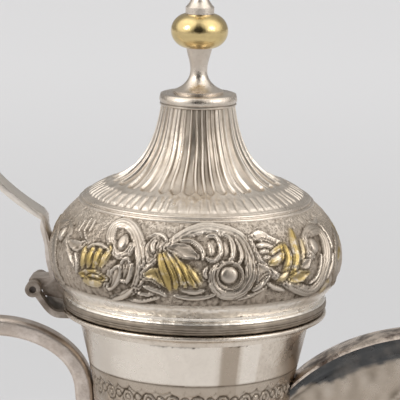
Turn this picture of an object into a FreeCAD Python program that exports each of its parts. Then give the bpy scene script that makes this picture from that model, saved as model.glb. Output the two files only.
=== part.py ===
import FreeCAD, Part
import math
import os

# A raised silver coffee pot (dallah) with a hinged onion-domed lid, in millimetres.
# +Z is up and the origin is the middle of the flat base. The spout points along +X, the handle along -X.
# An outline is a list of stations (distance from the axis, height, heading in degrees) joined by curves.

# Sheet metal and clearances
SHEET = 1.4
SEAT_GAP = 0.3
HINGE_SIDE_GAP = 0.3
PIN_CLEARANCE = 0.05
ROD_CLEARANCE = 0.05
BEZEL_CLEARANCE = 3.6
CURVE_FULLNESS = 0.37
HALVINGS = 50
TINY = 1e-6

# Base, belly and waist
BASE_R = 59.0
BASE_THICK = 2.0
BELLY_FOOT_R = 54.0
FOOT_RING_HEIGHT = 4.5
FOOT_RING_R = 58.0
BELLY_R = 69.5
BELLY_Z = 36.0
WAIST_R = 37.0
WAIST_Z = 103.0
WAIST_RING_HEIGHT = 5.0
WAIST_RING_PROUD = 2.2

# Neck and mouth
NECK_R = 45.2
RIM_Z = 168.0
RIM_PROUD = 5.4
RIM_THICK = 1.8
RIM_COVE = 3.2

# Lid, with heights above its seat
RING_HEIGHT = 6.7
RING_WIDTH = 4.6
RING_STEP_IN = 1.1
RING_GROOVE = 1.0
BEZEL_DEPTH = 6.0
BEZEL_THICK = 1.2
LID_BULGE = 5.9
LID_BULGE_HEIGHT = 20.7
SEAM_R = 43.1
SEAM_TURN = 135
SEAM_HEIGHT = 42.0
SEAM_RING_R = 0.8
SHOULDER_R = 30.5
SHOULDER_HEIGHT = 49.7
SPIRE_TOP_R = 13.8
CROWN_R = 14.5
CROWN_HEIGHT = 80.1
CROWN_THICK = 2.1

# Finial, stacked on a rod above the crown
FINIAL_FOOT_R = 9.4
FINIAL_FOOT_HEIGHT = 17.1
FINIAL_STEM_R = 3.2
KNOP_NECK_R = 4.9
KNOP_R = 10.8
KNOP_HEIGHT = 13.0
COLLAR_R = 5.4
COLLAR_HEIGHT = 2.4
UPPER_STEM_R = 2.7
UPPER_STEM_HEIGHT = 14.4
BUD_NECK_R = 3.4
BUD_R = 5.2
BUD_HEIGHT = 16.0
ROD_R = 1.5
ROD_IN_BUD = 8.0
ROD_TAIL = 1.5
NUT_R = 4.5
NUT_THICK = 2.8

# Raised scrolls on the dome and the belly, and the belly's long flutes
RELIEF_RISE = 1.4
SCROLL_R = 1.6
LEAF_R = 1.8
SCROLL_END_SINK = 1.6
BOSS_R = 3.0
DOME_FRIEZE_RUN = 10.4
BELLY_FRIEZE_RUN = 20.5
BELLY_FRIEZE_SCALE = 1.25
FRIEZE_SHIFT = 4.0
FRIEZE_REPEATS = 2
FLUTES = 28
FLUTE_DEPTH = 0.8
FLUTE_HOLLOW = 1.6
FLUTE_FILL = 0.86
FLUTE_START = 63.0
FLUTE_END = 110.0
# How far along a flute its sections stand and how much of its full width each has.
FLUTE_SECTIONS = ((0.0, 0.5), (0.05, 0.85), (0.13, 1.0), (0.5, 1.0), (0.87, 1.0), (0.95, 0.85), (1.0, 0.5))
# One half of the frieze. A place is (degrees from its middle, millimetres above its foot).
BOSSES = ((-69, 16.5), (-29.5, 20), (13, 9), (55, 15))
# Stems and the curls round the bosses, each through three places.
STEMS = (
    ((-64, -3), (-68, 4), (-73, 10)),
    ((-75, 13), (-74, 19), (-65, 21)),
    ((-34, -3), (-24, 3), (-21, 11)),
    ((-21, 13), (-24, 23), (-31, 27)),
    ((-33, 27), (-37, 20.5), (-31, 14.5)),
    ((-19, 9), (-12, 18), (-3, 24.5)),
    ((-2, 25), (8, 27.5), (18, 23)),
    ((20, 21), (22, 13), (19, 5)),
    ((17, 3), (10, 2), (6.5, 8)),
    ((24, 21), (26, 12), (34, 6)),
    ((35, 5), (44, 0.5), (54, 2)),
    ((56, 4), (62, 11), (62.5, 19)),
    ((61, 21.5), (53, 21), (48.5, 15)),
)
# Leaves of the three gilt sprays and of the stems.
LEAVES = (
    ((-45.5, 15.5), (-45.5, 11.5), (-45, 7.5)),
    ((-40.5, 15.5), (-40.5, 11.5), (-39.5, 7.5)),
    ((-48, 4), (-42, 5.5), (-36, 4.5)),
    ((-13, 16), (-11, 12), (-9.5, 8.5)),
    ((-9, 16), (-6.5, 12), (-5, 6.5)),
    ((-5, 14), (-1.5, 9.5), (3.5, 5.5)),
    ((-18, 8), (-13, 8), (-9, 3.5)),
    ((-11, 17), (-5, 19.5), (1, 15)),
    ((7, 23), (8, 19.5), (8, 16)),
    ((13.5, 22), (14.5, 19), (15, 16)),
    ((30, 11), (34, 13), (39, 16)),
    ((48, 22), (45, 19), (41, 16)),
    ((47, 16), (44, 12), (40, 8.5)),
    ((37.5, 5.5), (42.5, 6.5), (48, 7)),
)

# Hinge and thumb lever
BARREL_R = 3.0
PIN_R = 1.35
PIN_RECESS = 1.2
HINGE_OFFSET = 1.6
HINGE_HEIGHT = 6.2
BRACKET_W = 22.0
BRACKET_THICK = 2.4
BRACKET_LAP = 5.0
NOTCH_CLEARANCE = 1.5
LEVER_W = 10.4
LEVER_THICK = 2.2
LEVER_LAP = 0.05
LEVER_FOOT_HEIGHT = 11.0
LEVER_FOOT_TURN = 112
LEVER_ELBOW_HEIGHT = 36.0
LEVER_LEAN = 1.4
BLOCK_HEIGHT = 6.6
BLOCK_BACK = 2.3
BLOCK_DROP = 2.2
BLOCK_ROUND = 2.0
ARM_THICK = 4.3
ARM_RISE = 11.5
ARM_OUT = 15.5
ARM_ELBOW_TURN = 150
ARM_TURN = 139
LEVER_RISE = 33.0
LEVER_REACH = 38.0
LEVER_TIP_TURN = 160
THUMB_R = 6.6

# Handle
HANDLE_W = 8.0
HANDLE_THICK = 7.2
HANDLE_EDGE = 2.0
HANDLE_TANG_Z = 108.0
HANDLE_LEAVE_Z = 134.0
HANDLE_TOP_OUT = 31.0
HANDLE_TOP_DROP = 10.6
HANDLE_REACH = 121.0
HANDLE_REACH_Z = 110.0
HANDLE_FOOT_Z = 46.0
HANDLE_FOOT_R = 11.0
HANDLE_FOOT_THICK = 1.5

# Spout
SPOUT_TIP_X = 138.0
SPOUT_APEX_X = 95.0
SPOUT_ROOT_DROP = 30.0
SPOUT_APEX_DROP = 7.0
SPOUT_TIP_DROP = 27.0
SPOUT_KEEL_DROP = 64.0
SPOUT_TIP_DEPTH = 3.4
SPOUT_HALF_W = 7.6
SPOUT_TIP_HALF_W = 1.7
SPOUT_TAPER = 1.1
SPOUT_SIDE_FULLNESS = 0.78
SPOUT_SIDE_HEIGHT = 0.42
SPOUT_KEEL_WALL = 2.1
SPOUT_STATIONS = (0.0, 0.2, 0.4, 0.58, 0.74, 0.88, 1.0)
SPOUT_ROOT_IN = 8.0
COVER_STATIONS = (0.0, 0.2, 0.4, 0.58, 0.72)
COVER_OVERHANG = 1.5
COVER_THICK = 1.3
COVER_LAP = 0.5
COVER_CROWN = 0.6
STRAINER_ROWS = (4, 3, 2, 1)
STRAINER_R = 0.9
STRAINER_PITCH = 2.7
STRAINER_ROW_PITCH = 4.0
STRAINER_TOP_DROP = 37.0

# Sizes that follow from those above
V = FreeCAD.Vector
ORIGIN = V(0, 0, 0)
UP = V(0, 0, 1)
ALONG_Y = V(0, 1, 0)
ALONG_X = V(1, 0, 0)
RIM_R = NECK_R + RIM_PROUD
RIM_UNDER_Z = RIM_Z - RIM_THICK
LID_R = RIM_R + LID_BULGE
LID_Z = RIM_Z + SEAT_GAP
RING_IN_R = RIM_R - RING_WIDTH
DOME_FOOT_R = RIM_R - RING_STEP_IN
BEZEL_R = NECK_R - SHEET - BEZEL_CLEARANCE
CROWN_Z = LID_Z + CROWN_HEIGHT
FINIAL_Z = CROWN_Z + CROWN_THICK
KNOP_Z = FINIAL_Z + FINIAL_FOOT_HEIGHT
COLLAR_Z = KNOP_Z + KNOP_HEIGHT
BUD_Z = COLLAR_Z + UPPER_STEM_HEIGHT
HINGE_X = -(LID_R + HINGE_OFFSET + BARREL_R)
HINGE_Z = LID_Z + HINGE_HEIGHT
SPOUT_ROOT_X = NECK_R - SPOUT_ROOT_IN
FAR = 4.0 * (BELLY_R + RIM_Z)

BELLY_OUTLINE = [(BELLY_FOOT_R, BASE_THICK, 68), (BELLY_R - RELIEF_RISE, BELLY_Z, 90), (WAIST_R, WAIST_Z, 90)]
NECK_OUTLINE = [(WAIST_R, WAIST_Z, 90), (NECK_R, RIM_UNDER_Z, 74)]
DOME_OUTLINE = [
    (DOME_FOOT_R, LID_Z + RING_HEIGHT, 40),
    (LID_R - RELIEF_RISE, LID_Z + LID_BULGE_HEIGHT, 90),
    (SEAM_R, LID_Z + SEAM_HEIGHT, SEAM_TURN),
]
SPIRE_OUTLINE = [
    (SEAM_R, LID_Z + SEAM_HEIGHT, SEAM_TURN),
    (SHOULDER_R, LID_Z + SHOULDER_HEIGHT, 155),
    (SPIRE_TOP_R, CROWN_Z, 97),
]


def heading(degrees):
    """A unit vector in the XZ plane, turned from +X towards +Z."""
    return V(math.cos(math.radians(degrees)), 0, math.sin(math.radians(degrees)))


def flat(pair):
    """A point of the XZ plane."""
    return V(pair[0], 0, pair[1])


def line(start, end):
    """A straight edge in the XZ plane."""
    return Part.makeLine(flat(start), flat(end))


def arc(start, middle, end):
    """A round edge in the XZ plane."""
    return Part.Arc(flat(start), flat(middle), flat(end)).toShape()


def curve(start, end):
    """One smooth edge between two stations."""
    reach = CURVE_FULLNESS * flat(start).distanceToPoint(flat(end))
    leaving = flat(start) + heading(start[2]) * reach
    arriving = flat(end) - heading(end[2]) * reach
    bezier = Part.BezierCurve()
    bezier.setPoles([flat(start), leaving, arriving, flat(end)])
    return bezier.toShape()


def chain(stations):
    """The smooth edges through a list of stations."""
    return [curve(start, end) for start, end in zip(stations, stations[1:])]


def shifted(stations, distance):
    """The stations moved to the left of their headings."""
    moved = []
    for x, z, turn in stations:
        side = heading(turn + 90) * distance
        moved.append((x + side.x, z + side.z, turn))
    return moved


def inner_wall(stations):
    """The inside of a sheet wall, level with its outside at both ends."""
    inside = shifted(stations, SHEET)
    for end in (0, -1):
        r, z, turn = stations[end]
        inside[end] = (r - SHEET / math.sin(math.radians(turn)), z, turn)
    return inside


def crossing(edges, axis, value):
    """The point where a run of edges passes a value of x (axis 0) or z (axis 2)."""
    for edge in edges:
        low, high = edge.ParameterRange
        below = edge.valueAt(low)[axis] <= value
        if below == (edge.valueAt(high)[axis] <= value):
            continue
        for _ in range(HALVINGS):
            middle = (low + high) / 2
            if (edge.valueAt(middle)[axis] <= value) == below:
                low = middle
            else:
                high = middle
        return edge.valueAt(low)
    raise ValueError("the outline does not pass that value")


def section(edges):
    """The flat face inside a closed outline in the XZ plane."""
    return Part.Face(Part.Wire(Part.__sortEdges__(edges)))


def turned(face):
    """A section turned round the pot's axis."""
    return face.revolve(ORIGIN, UP, 360)


def core_section(stations):
    """Half of the filled section inside an outline, out from the axis."""
    first = stations[0]
    last = stations[-1]
    edges = chain(stations)
    if last[0] > 0:
        edges.append(line(last, (0, last[1])))
    edges.append(line((0, last[1]), (0, first[1])))
    edges.append(line((0, first[1]), first))
    return section(edges)


def core(stations):
    """The filled solid inside an outline."""
    return turned(core_section(stations))


def fitted_ring(edges, *outlines):
    """A ring whose section is cut back to the walls that it lies on."""
    face = section(edges)
    for stations in outlines:
        face = face.cut(core_section(stations))
    return turned(face.Faces[0])


def sheet_wall(stations):
    """A shell of revolution of the sheet's thickness."""
    inside = inner_wall(stations)
    edges = chain(stations) + chain(inside)
    edges.append(line(stations[0], inside[0]))
    edges.append(line(stations[-1], inside[-1]))
    return turned(section(edges))


def outline_place(edges, run):
    """The place and the outward direction at a distance along an outline."""
    for edge in edges:
        if run <= edge.Length:
            break
        run -= edge.Length
    at = edge.getParameterByLength(run)
    along = edge.tangentAt(at)
    return edge.valueAt(at), V(along.z, 0, -along.x)


def on_wall(edges, run, turn, rise):
    """A place on a turned wall: distance along its outline, degrees from the front and height over it."""
    place, out = outline_place(edges, run)
    place = place + out * rise
    angle = math.radians(turn)
    return V(place.x * math.sin(angle), -place.x * math.cos(angle), place.z)


def raised_bar(edges, foot, scale, places, radius):
    """A half-round bar along places on a wall, which sinks into the wall at both ends."""
    rises = [RELIEF_RISE - radius] * len(places)
    rises[0] = -SCROLL_END_SINK * radius
    rises[-1] = -SCROLL_END_SINK * radius
    points = []
    for (turn, up), rise in zip(places, rises):
        points.append(on_wall(edges, foot + up * scale, turn + FRIEZE_SHIFT, rise))
    spline = Part.BSplineCurve()
    spline.interpolate(points)
    path = spline.toShape()
    start = path.FirstParameter
    ring = Part.Circle(path.valueAt(start), path.tangentAt(start), radius).toShape()
    return Part.Wire(path).makePipeShell([Part.Wire(ring)], True, False)


def raised_boss(edges, foot, scale, place):
    """A round boss inside a curl."""
    radius = BOSS_R * scale
    turn, up = place
    return Part.makeSphere(radius, on_wall(edges, foot + up * scale, turn + FRIEZE_SHIFT, RELIEF_RISE - radius))


def chased_wall(stations, foot, scale):
    """A sheet wall with the frieze standing on its outside."""
    edges = chain(stations)
    half = [raised_bar(edges, foot, scale, places, SCROLL_R * scale) for places in STEMS]
    half += [raised_bar(edges, foot, scale, places, LEAF_R * scale) for places in LEAVES]
    half += [raised_boss(edges, foot, scale, place) for place in BOSSES]
    relief = []
    for repeat in range(FRIEZE_REPEATS):
        for form in half:
            copy = form.copy()
            copy.rotate(ORIGIN, UP, repeat * 360 / FRIEZE_REPEATS)
            relief.append(copy)
    return core(stations).fuse(relief).cut(core(inner_wall(stations)))


def flute_cutters():
    """Long hollows up the belly, each as wide as its share of the way round, with rounded ends."""
    edges = chain(BELLY_OUTLINE)
    rings = []
    for share, width in FLUTE_SECTIONS:
        run = FLUTE_START + share * (FLUTE_END - FLUTE_START)
        place, out = outline_place(edges, run)
        half = place.x * math.pi / FLUTES * FLUTE_FILL * width
        centre = place + out * (FLUTE_HOLLOW - FLUTE_DEPTH * width)
        ring = Part.Ellipse(centre + ALONG_Y * half, centre + out * FLUTE_HOLLOW, centre)
        rings.append(Part.Wire(ring.toShape()))
    first = Part.makeLoft(rings, True, False)
    cutters = []
    for number in range(FLUTES):
        copy = first.copy()
        copy.rotate(ORIGIN, UP, (number + 0.5) * 360 / FLUTES)
        cutters.append(copy)
    return cutters


def disc(radius, z, thick):
    """A flat disc with a half-round edge."""
    edge_r = radius - thick / 2
    edges = [
        line((0, z), (edge_r, z)),
        arc((edge_r, z), (radius, z + thick / 2), (edge_r, z + thick)),
        line((edge_r, z + thick), (0, z + thick)),
        line((0, z + thick), (0, z)),
    ]
    return turned(section(edges))


def rod(radius, low, high):
    """An upright round bar on the pot's axis."""
    return Part.makeCylinder(radius, high - low, V(0, 0, low), UP)


def cross_bar(radius, x, z, low, high):
    """A round bar along Y."""
    return Part.makeCylinder(radius, high - low, V(x, low, z), ALONG_Y)


def strap(stations, thick, width):
    """A flat bar that follows the stations in the XZ plane, centred on Y."""
    left = shifted(stations, thick / 2)
    right = shifted(stations, -thick / 2)
    edges = chain(left) + chain(right)
    edges.append(line(left[0], right[0]))
    edges.append(line(left[-1], right[-1]))
    face = section(edges)
    face.translate(V(0, -width / 2, 0))
    return face.extrude(V(0, width, 0))


def neck_core():
    """The filled outside of the neck."""
    return core(NECK_OUTLINE)


def base_plate():
    return disc(BASE_R, 0, BASE_THICK)


def foot_ring():
    top = BASE_THICK + FOOT_RING_HEIGHT
    edge_r = FOOT_RING_R - FOOT_RING_HEIGHT / 2
    inner_r = BELLY_FOOT_R - SHEET
    edges = [
        line((inner_r, BASE_THICK), (edge_r, BASE_THICK)),
        arc((edge_r, BASE_THICK), (FOOT_RING_R, (BASE_THICK + top) / 2), (edge_r, top)),
        line((edge_r, top), (inner_r, top)),
        line((inner_r, top), (inner_r, BASE_THICK)),
    ]
    return fitted_ring(edges, BELLY_OUTLINE)


def belly():
    """The raised body, with the frieze round it and flutes up to the waist."""
    return chased_wall(BELLY_OUTLINE, BELLY_FRIEZE_RUN, BELLY_FRIEZE_SCALE).cut(flute_cutters())


def waist_ring():
    low = WAIST_Z - WAIST_RING_HEIGHT / 2
    high = WAIST_Z + WAIST_RING_HEIGHT / 2
    inner_r = WAIST_R - SHEET
    edges = [
        line((inner_r, low), (WAIST_R, low)),
        arc((WAIST_R, low), (WAIST_R + WAIST_RING_PROUD, WAIST_Z), (WAIST_R, high)),
        line((WAIST_R, high), (inner_r, high)),
        line((inner_r, high), (inner_r, low)),
    ]
    return fitted_ring(edges, BELLY_OUTLINE, NECK_OUTLINE)


def neck():
    """The neck, pierced behind the spout so that the grounds stay in the pot."""
    wall = sheet_wall(NECK_OUTLINE)
    for row, count in enumerate(STRAINER_ROWS):
        z = RIM_Z - STRAINER_TOP_DROP - row * STRAINER_ROW_PITCH
        for place in range(count):
            y = (place - (count - 1) / 2) * STRAINER_PITCH
            wall = wall.cut(Part.makeCylinder(STRAINER_R, 2 * NECK_R, V(0, y, z), ALONG_X))
    return wall


def mouth_flange():
    """The flat lip of the mouth, coved into the neck."""
    inner_r = inner_wall(NECK_OUTLINE)[-1][0]
    edge_r = RIM_R - RIM_THICK / 2
    cove_r = NECK_R + RIM_COVE
    cove_z = RIM_UNDER_Z - RIM_COVE
    belly_of_cove = RIM_COVE * (1 - math.sqrt(0.5))
    edges = [
        line((inner_r, RIM_Z), (edge_r, RIM_Z)),
        arc((edge_r, RIM_Z), (RIM_R, RIM_Z - RIM_THICK / 2), (edge_r, RIM_UNDER_Z)),
        line((edge_r, RIM_UNDER_Z), (cove_r, RIM_UNDER_Z)),
        arc((cove_r, RIM_UNDER_Z), (NECK_R + belly_of_cove, RIM_UNDER_Z - belly_of_cove), (NECK_R, cove_z)),
        line((NECK_R, cove_z), (inner_r, cove_z)),
        line((inner_r, cove_z), (inner_r, RIM_Z)),
    ]
    return fitted_ring(edges, NECK_OUTLINE)


def spout_edges():
    """The top edge and the keel of the spout, seen from the side."""
    top = chain([
        (SPOUT_ROOT_X, RIM_Z - SPOUT_ROOT_DROP, 45),
        (SPOUT_APEX_X, RIM_Z - SPOUT_APEX_DROP, 0),
        (SPOUT_TIP_X, RIM_Z - SPOUT_TIP_DROP, -45),
    ])
    keel = chain([
        (SPOUT_ROOT_X, RIM_Z - SPOUT_KEEL_DROP, 5),
        (SPOUT_TIP_X, RIM_Z - SPOUT_TIP_DROP - SPOUT_TIP_DEPTH, 28),
    ])
    return top, keel


def spout_station(share):
    """Place, half width, top and keel height of the spout at a share of its length."""
    top, keel = spout_edges()
    x = SPOUT_ROOT_X + share * (SPOUT_TIP_X - SPOUT_ROOT_X)
    inside = min(max(x, SPOUT_ROOT_X + TINY), SPOUT_TIP_X - TINY)
    half = SPOUT_TIP_HALF_W + (SPOUT_HALF_W - SPOUT_TIP_HALF_W) * (1 - share ** SPOUT_TAPER)
    return x, half, crossing(top, 0, inside).z, crossing(keel, 0, inside).z


def trough_section(x, half, top, keel):
    """A pointed channel section across the spout."""
    side = half * SPOUT_SIDE_FULLNESS
    middle = keel + SPOUT_SIDE_HEIGHT * (top - keel)
    edges = [
        Part.makeLine(V(x, -half, top), V(x, half, top)),
        Part.Arc(V(x, half, top), V(x, side, middle), V(x, 0, keel)).toShape(),
        Part.Arc(V(x, 0, keel), V(x, -side, middle), V(x, -half, top)).toShape(),
    ]
    return Part.Wire(edges)


def spout_trough():
    """Both cheeks of the spout, open along the top and fitted to the neck."""
    stations = [spout_station(share) for share in SPOUT_STATIONS]
    outside = Part.makeLoft([trough_section(*station) for station in stations], True, False)
    sections = []
    for x, half, top, keel in stations[:-1]:
        sections.append(trough_section(x, half - SHEET, top + SHEET, keel + SPOUT_KEEL_WALL))
    inside = Part.makeLoft(sections, True, False)
    return outside.cut(inside).cut(neck_core())


def spout_cheek(trough, side):
    """One half of the spout, parted at the keel seam."""
    low_y = 0 if side > 0 else -FAR
    half_space = Part.makeBox(2 * FAR, FAR, 2 * FAR, V(-FAR, low_y, -FAR))
    return trough.common(half_space)


def spout_cover(trough):
    """The crowned strip that roofs the spout as far as the pouring lip."""
    sections = []
    for share in COVER_STATIONS:
        x, half, top, keel = spout_station(share)
        reach = half + COVER_OVERHANG
        low = top - COVER_LAP
        high = low + COVER_THICK
        edges = [
            Part.makeLine(V(x, -reach, low), V(x, reach, low)),
            Part.makeLine(V(x, reach, low), V(x, reach, high)),
            Part.Arc(V(x, reach, high), V(x, 0, high + COVER_CROWN), V(x, -reach, high)).toShape(),
            Part.makeLine(V(x, -reach, high), V(x, -reach, low)),
        ]
        sections.append(Part.Wire(edges))
    return Part.makeLoft(sections, True, False).cut(trough).cut(neck_core())


def belly_pad_core():
    """The belly grown by the thickness of the handle's foot."""
    return core(shifted(BELLY_OUTLINE, -HANDLE_FOOT_THICK))


def handle_foot():
    """The round plate that spreads the handle's lower end on the belly."""
    stub = Part.makeCylinder(HANDLE_FOOT_R, FAR, V(0, 0, HANDLE_FOOT_Z), V(-1, 0, 0))
    return stub.common(belly_pad_core()).cut(core(BELLY_OUTLINE))


def handle():
    """A bowed bar from the neck, out past the hinge and down to the belly."""
    neck_edges = chain(NECK_OUTLINE)
    tang_r = crossing(neck_edges, 2, HANDLE_TANG_Z).x + HANDLE_THICK / 2
    leave_r = crossing(neck_edges, 2, HANDLE_LEAVE_Z).x + HANDLE_THICK / 2
    belly_r = crossing(chain(BELLY_OUTLINE), 2, HANDLE_FOOT_Z).x
    bar = strap([
        (-tang_r, HANDLE_TANG_Z, 91),
        (-leave_r, HANDLE_LEAVE_Z, 95),
        (-(NECK_R + HANDLE_TOP_OUT), RIM_Z - HANDLE_TOP_DROP, 180),
        (-HANDLE_REACH, HANDLE_REACH_Z, 270),
        (-(belly_r - SHEET), HANDLE_FOOT_Z, 340),
    ], HANDLE_THICK, HANDLE_W)
    long_edges = []
    for edge in bar.Edges:
        direction = edge.valueAt(edge.FirstParameter) - edge.valueAt(edge.LastParameter)
        across = abs(direction.y) > HANDLE_THICK
        end = edge.Length < HANDLE_THICK * 1.5
        if not across and not end:
            long_edges.append(edge)
    return bar.makeFillet(HANDLE_EDGE, long_edges).cut(belly_pad_core()).cut(neck_core())


def bracket_leaf(thick):
    """The strap of the pot's hinge leaf, from under the flange up to the barrel."""
    tongue_z = RIM_UNDER_Z - BRACKET_THICK / 2
    return strap([
        (-(RIM_R - BRACKET_LAP), tongue_z, 180),
        (-RIM_R, tongue_z, 178),
        (HINGE_X, HINGE_Z, 138),
    ], thick, BRACKET_W)


def hinge_bracket(flange):
    """The pot's hinge leaf: a tongue under the flange that rises to two outer knuckles."""
    leaf = bracket_leaf(BRACKET_THICK)
    inner = LEVER_W / 2 + HINGE_SIDE_GAP
    notch_x = HINGE_X + BARREL_R + NOTCH_CLEARANCE
    notch = Part.makeBox(FAR, 2 * inner, FAR, V(notch_x - FAR, -inner, HINGE_Z - FAR / 2))
    leaf = leaf.cut(flange).cut(neck_core()).cut(notch)
    leaf = leaf.fuse(cross_bar(BARREL_R, HINGE_X, HINGE_Z, inner, BRACKET_W / 2))
    leaf = leaf.fuse(cross_bar(BARREL_R, HINGE_X, HINGE_Z, -BRACKET_W / 2, -inner))
    return leaf.cut(cross_bar(PIN_R, HINGE_X, HINGE_Z, -BRACKET_W, BRACKET_W)).removeSplitter()


def hinge_pin():
    reach = BRACKET_W / 2 - PIN_RECESS
    return cross_bar(PIN_R, HINGE_X, HINGE_Z, -reach, reach)


def lever_block():
    """The lid's half of the hinge: the barrel's middle, grown up and in to the lid."""
    back = HINGE_X - BLOCK_BACK
    upper = Part.makeBox(-DOME_FOOT_R - back, LEVER_W, BLOCK_HEIGHT, V(back, -LEVER_W / 2, HINGE_Z))
    corner = []
    for edge in upper.Edges:
        middle = edge.CenterOfMass
        if abs(middle.y) < TINY and middle.x < back + TINY and middle.z > HINGE_Z + TINY:
            corner.append(edge)
    upper = upper.makeFillet(BLOCK_ROUND, corner)
    lower = Part.makeBox(-DOME_FOOT_R - HINGE_X, LEVER_W, BLOCK_DROP, V(HINGE_X, -LEVER_W / 2, HINGE_Z - BLOCK_DROP))
    room = bracket_leaf(BRACKET_THICK + 2 * HINGE_SIDE_GAP)
    return upper.fuse(lower).cut([core(DOME_OUTLINE), lid_base_ring(), room])


def thumb_lever():
    """The lid's hinge leaf: a block on the barrel, a strap up the dome and an arm out to a thumb rest."""
    dome = core(DOME_OUTLINE)
    ground_r = LID_R - RELIEF_RISE
    back_x = -(ground_r + LEVER_THICK / 2 - LEVER_LAP)
    foot_z = LID_Z + LEVER_FOOT_HEIGHT
    foot_r = crossing(chain(DOME_OUTLINE), 2, foot_z).x
    elbow_x = back_x - LEVER_LEAN
    elbow_z = LID_Z + LEVER_ELBOW_HEIGHT
    leaf = strap([
        (-foot_r, foot_z, LEVER_FOOT_TURN),
        (back_x, LID_Z + LID_BULGE_HEIGHT, 90),
        (elbow_x, elbow_z, 92),
    ], LEVER_THICK, LEVER_W)
    tip_x = elbow_x - LEVER_REACH
    tip_z = elbow_z + LEVER_RISE
    arm = strap([
        (elbow_x + LEVER_THICK / 2, elbow_z, ARM_ELBOW_TURN),
        (elbow_x - ARM_OUT, elbow_z + ARM_RISE, ARM_TURN),
        (tip_x, tip_z, LEVER_TIP_TURN),
    ], ARM_THICK, LEVER_W)
    across = heading(LEVER_TIP_TURN - 90)
    rest = Part.makeCylinder(THUMB_R, ARM_THICK, V(tip_x, 0, tip_z) - across * (ARM_THICK / 2), across)
    knuckle = cross_bar(BARREL_R, HINGE_X, HINGE_Z, -LEVER_W / 2, LEVER_W / 2)
    bore = cross_bar(PIN_R + PIN_CLEARANCE, HINGE_X, HINGE_Z, -LEVER_W, LEVER_W)
    return leaf.fuse([arm, rest, knuckle, lever_block()]).cut([bore, dome]).removeSplitter()


def lid_base_ring():
    """The moulded ring under the dome: a half-round bead and a groove."""
    bead_top = LID_Z + RING_HEIGHT - 2 * RING_GROOVE
    bead_r = RIM_R - RING_GROOVE
    dome_z = LID_Z + RING_HEIGHT
    groove_r = DOME_FOOT_R - RING_GROOVE / 2
    edges = [
        line((RING_IN_R, LID_Z), (bead_r, LID_Z)),
        arc((bead_r, LID_Z), (RIM_R, (LID_Z + bead_top) / 2), (bead_r, bead_top)),
        arc((bead_r, bead_top), (groove_r, (bead_top + dome_z) / 2), (DOME_FOOT_R, dome_z)),
        line((DOME_FOOT_R, dome_z), (RING_IN_R, dome_z)),
        line((RING_IN_R, dome_z), (RING_IN_R, LID_Z)),
    ]
    return turned(section(edges))


def lid_bezel():
    """The inner collar that drops into the mouth and keeps the lid centred."""
    inner_r = BEZEL_R - BEZEL_THICK
    top = LID_Z + BEZEL_THICK
    corners = [
        (inner_r, LID_Z - BEZEL_DEPTH),
        (BEZEL_R, LID_Z - BEZEL_DEPTH),
        (BEZEL_R, LID_Z),
        (RING_IN_R, LID_Z),
        (RING_IN_R, top),
        (inner_r, top),
    ]
    return turned(section([line(a, b) for a, b in zip(corners, corners[1:] + corners[:1])]))


def lid_dome():
    return chased_wall(DOME_OUTLINE, DOME_FRIEZE_RUN, 1.0)


def lid_spire():
    return sheet_wall(SPIRE_OUTLINE)


def seam_ring():
    """The wire that covers the seam between the dome and the spire."""
    middle_z = LID_Z + SEAM_HEIGHT
    low = (SEAM_R, middle_z - SEAM_RING_R)
    high = (SEAM_R, middle_z + SEAM_RING_R)
    edges = [
        arc(low, (SEAM_R + SEAM_RING_R, middle_z), high),
        arc(high, (SEAM_R - SEAM_RING_R, middle_z), low),
    ]
    return fitted_ring(edges, DOME_OUTLINE, SPIRE_OUTLINE)


def rod_bore():
    """The hole that the finial's rod passes through."""
    return rod(ROD_R + ROD_CLEARANCE, LID_Z, BUD_Z + ROD_IN_BUD)


def crown_collar():
    return disc(CROWN_R, CROWN_Z, CROWN_THICK).cut(rod_bore())


def finial_foot():
    lip = CROWN_THICK / 2
    body = core([
        (FINIAL_FOOT_R, FINIAL_Z + lip, 160),
        (FINIAL_STEM_R, FINIAL_Z + FINIAL_FOOT_HEIGHT / 2, 90),
        (KNOP_NECK_R, KNOP_Z, 80),
    ])
    return body.fuse(rod(FINIAL_FOOT_R, FINIAL_Z, FINIAL_Z + lip)).cut(rod_bore()).removeSplitter()


def finial_knop():
    widest = KNOP_Z + KNOP_HEIGHT / 2
    outline = [(KNOP_NECK_R, KNOP_Z, 5), (KNOP_R, widest, 90), (KNOP_NECK_R, COLLAR_Z, 175)]
    return core(outline).cut(rod_bore())


def finial_collar():
    """The collar above the knop and the slim stem that it carries."""
    stem_z = COLLAR_Z + COLLAR_HEIGHT
    stem = core([
        (COLLAR_R, stem_z, 135),
        (UPPER_STEM_R, (stem_z + BUD_Z) / 2, 90),
        (BUD_NECK_R, BUD_Z, 75),
    ])
    return stem.fuse(rod(COLLAR_R, COLLAR_Z, stem_z)).cut(rod_bore()).removeSplitter()


def finial_bud():
    outline = [(BUD_NECK_R, BUD_Z, 30), (BUD_R, BUD_Z + BUD_HEIGHT / 3, 90), (0, BUD_Z + BUD_HEIGHT, 110)]
    return core(outline).cut(rod_bore())


def finial_rod():
    return rod(ROD_R, CROWN_Z - NUT_THICK - ROD_TAIL, BUD_Z + ROD_IN_BUD)


def finial_nut():
    return disc(NUT_R, CROWN_Z - NUT_THICK, NUT_THICK).cut(rod_bore())


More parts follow.
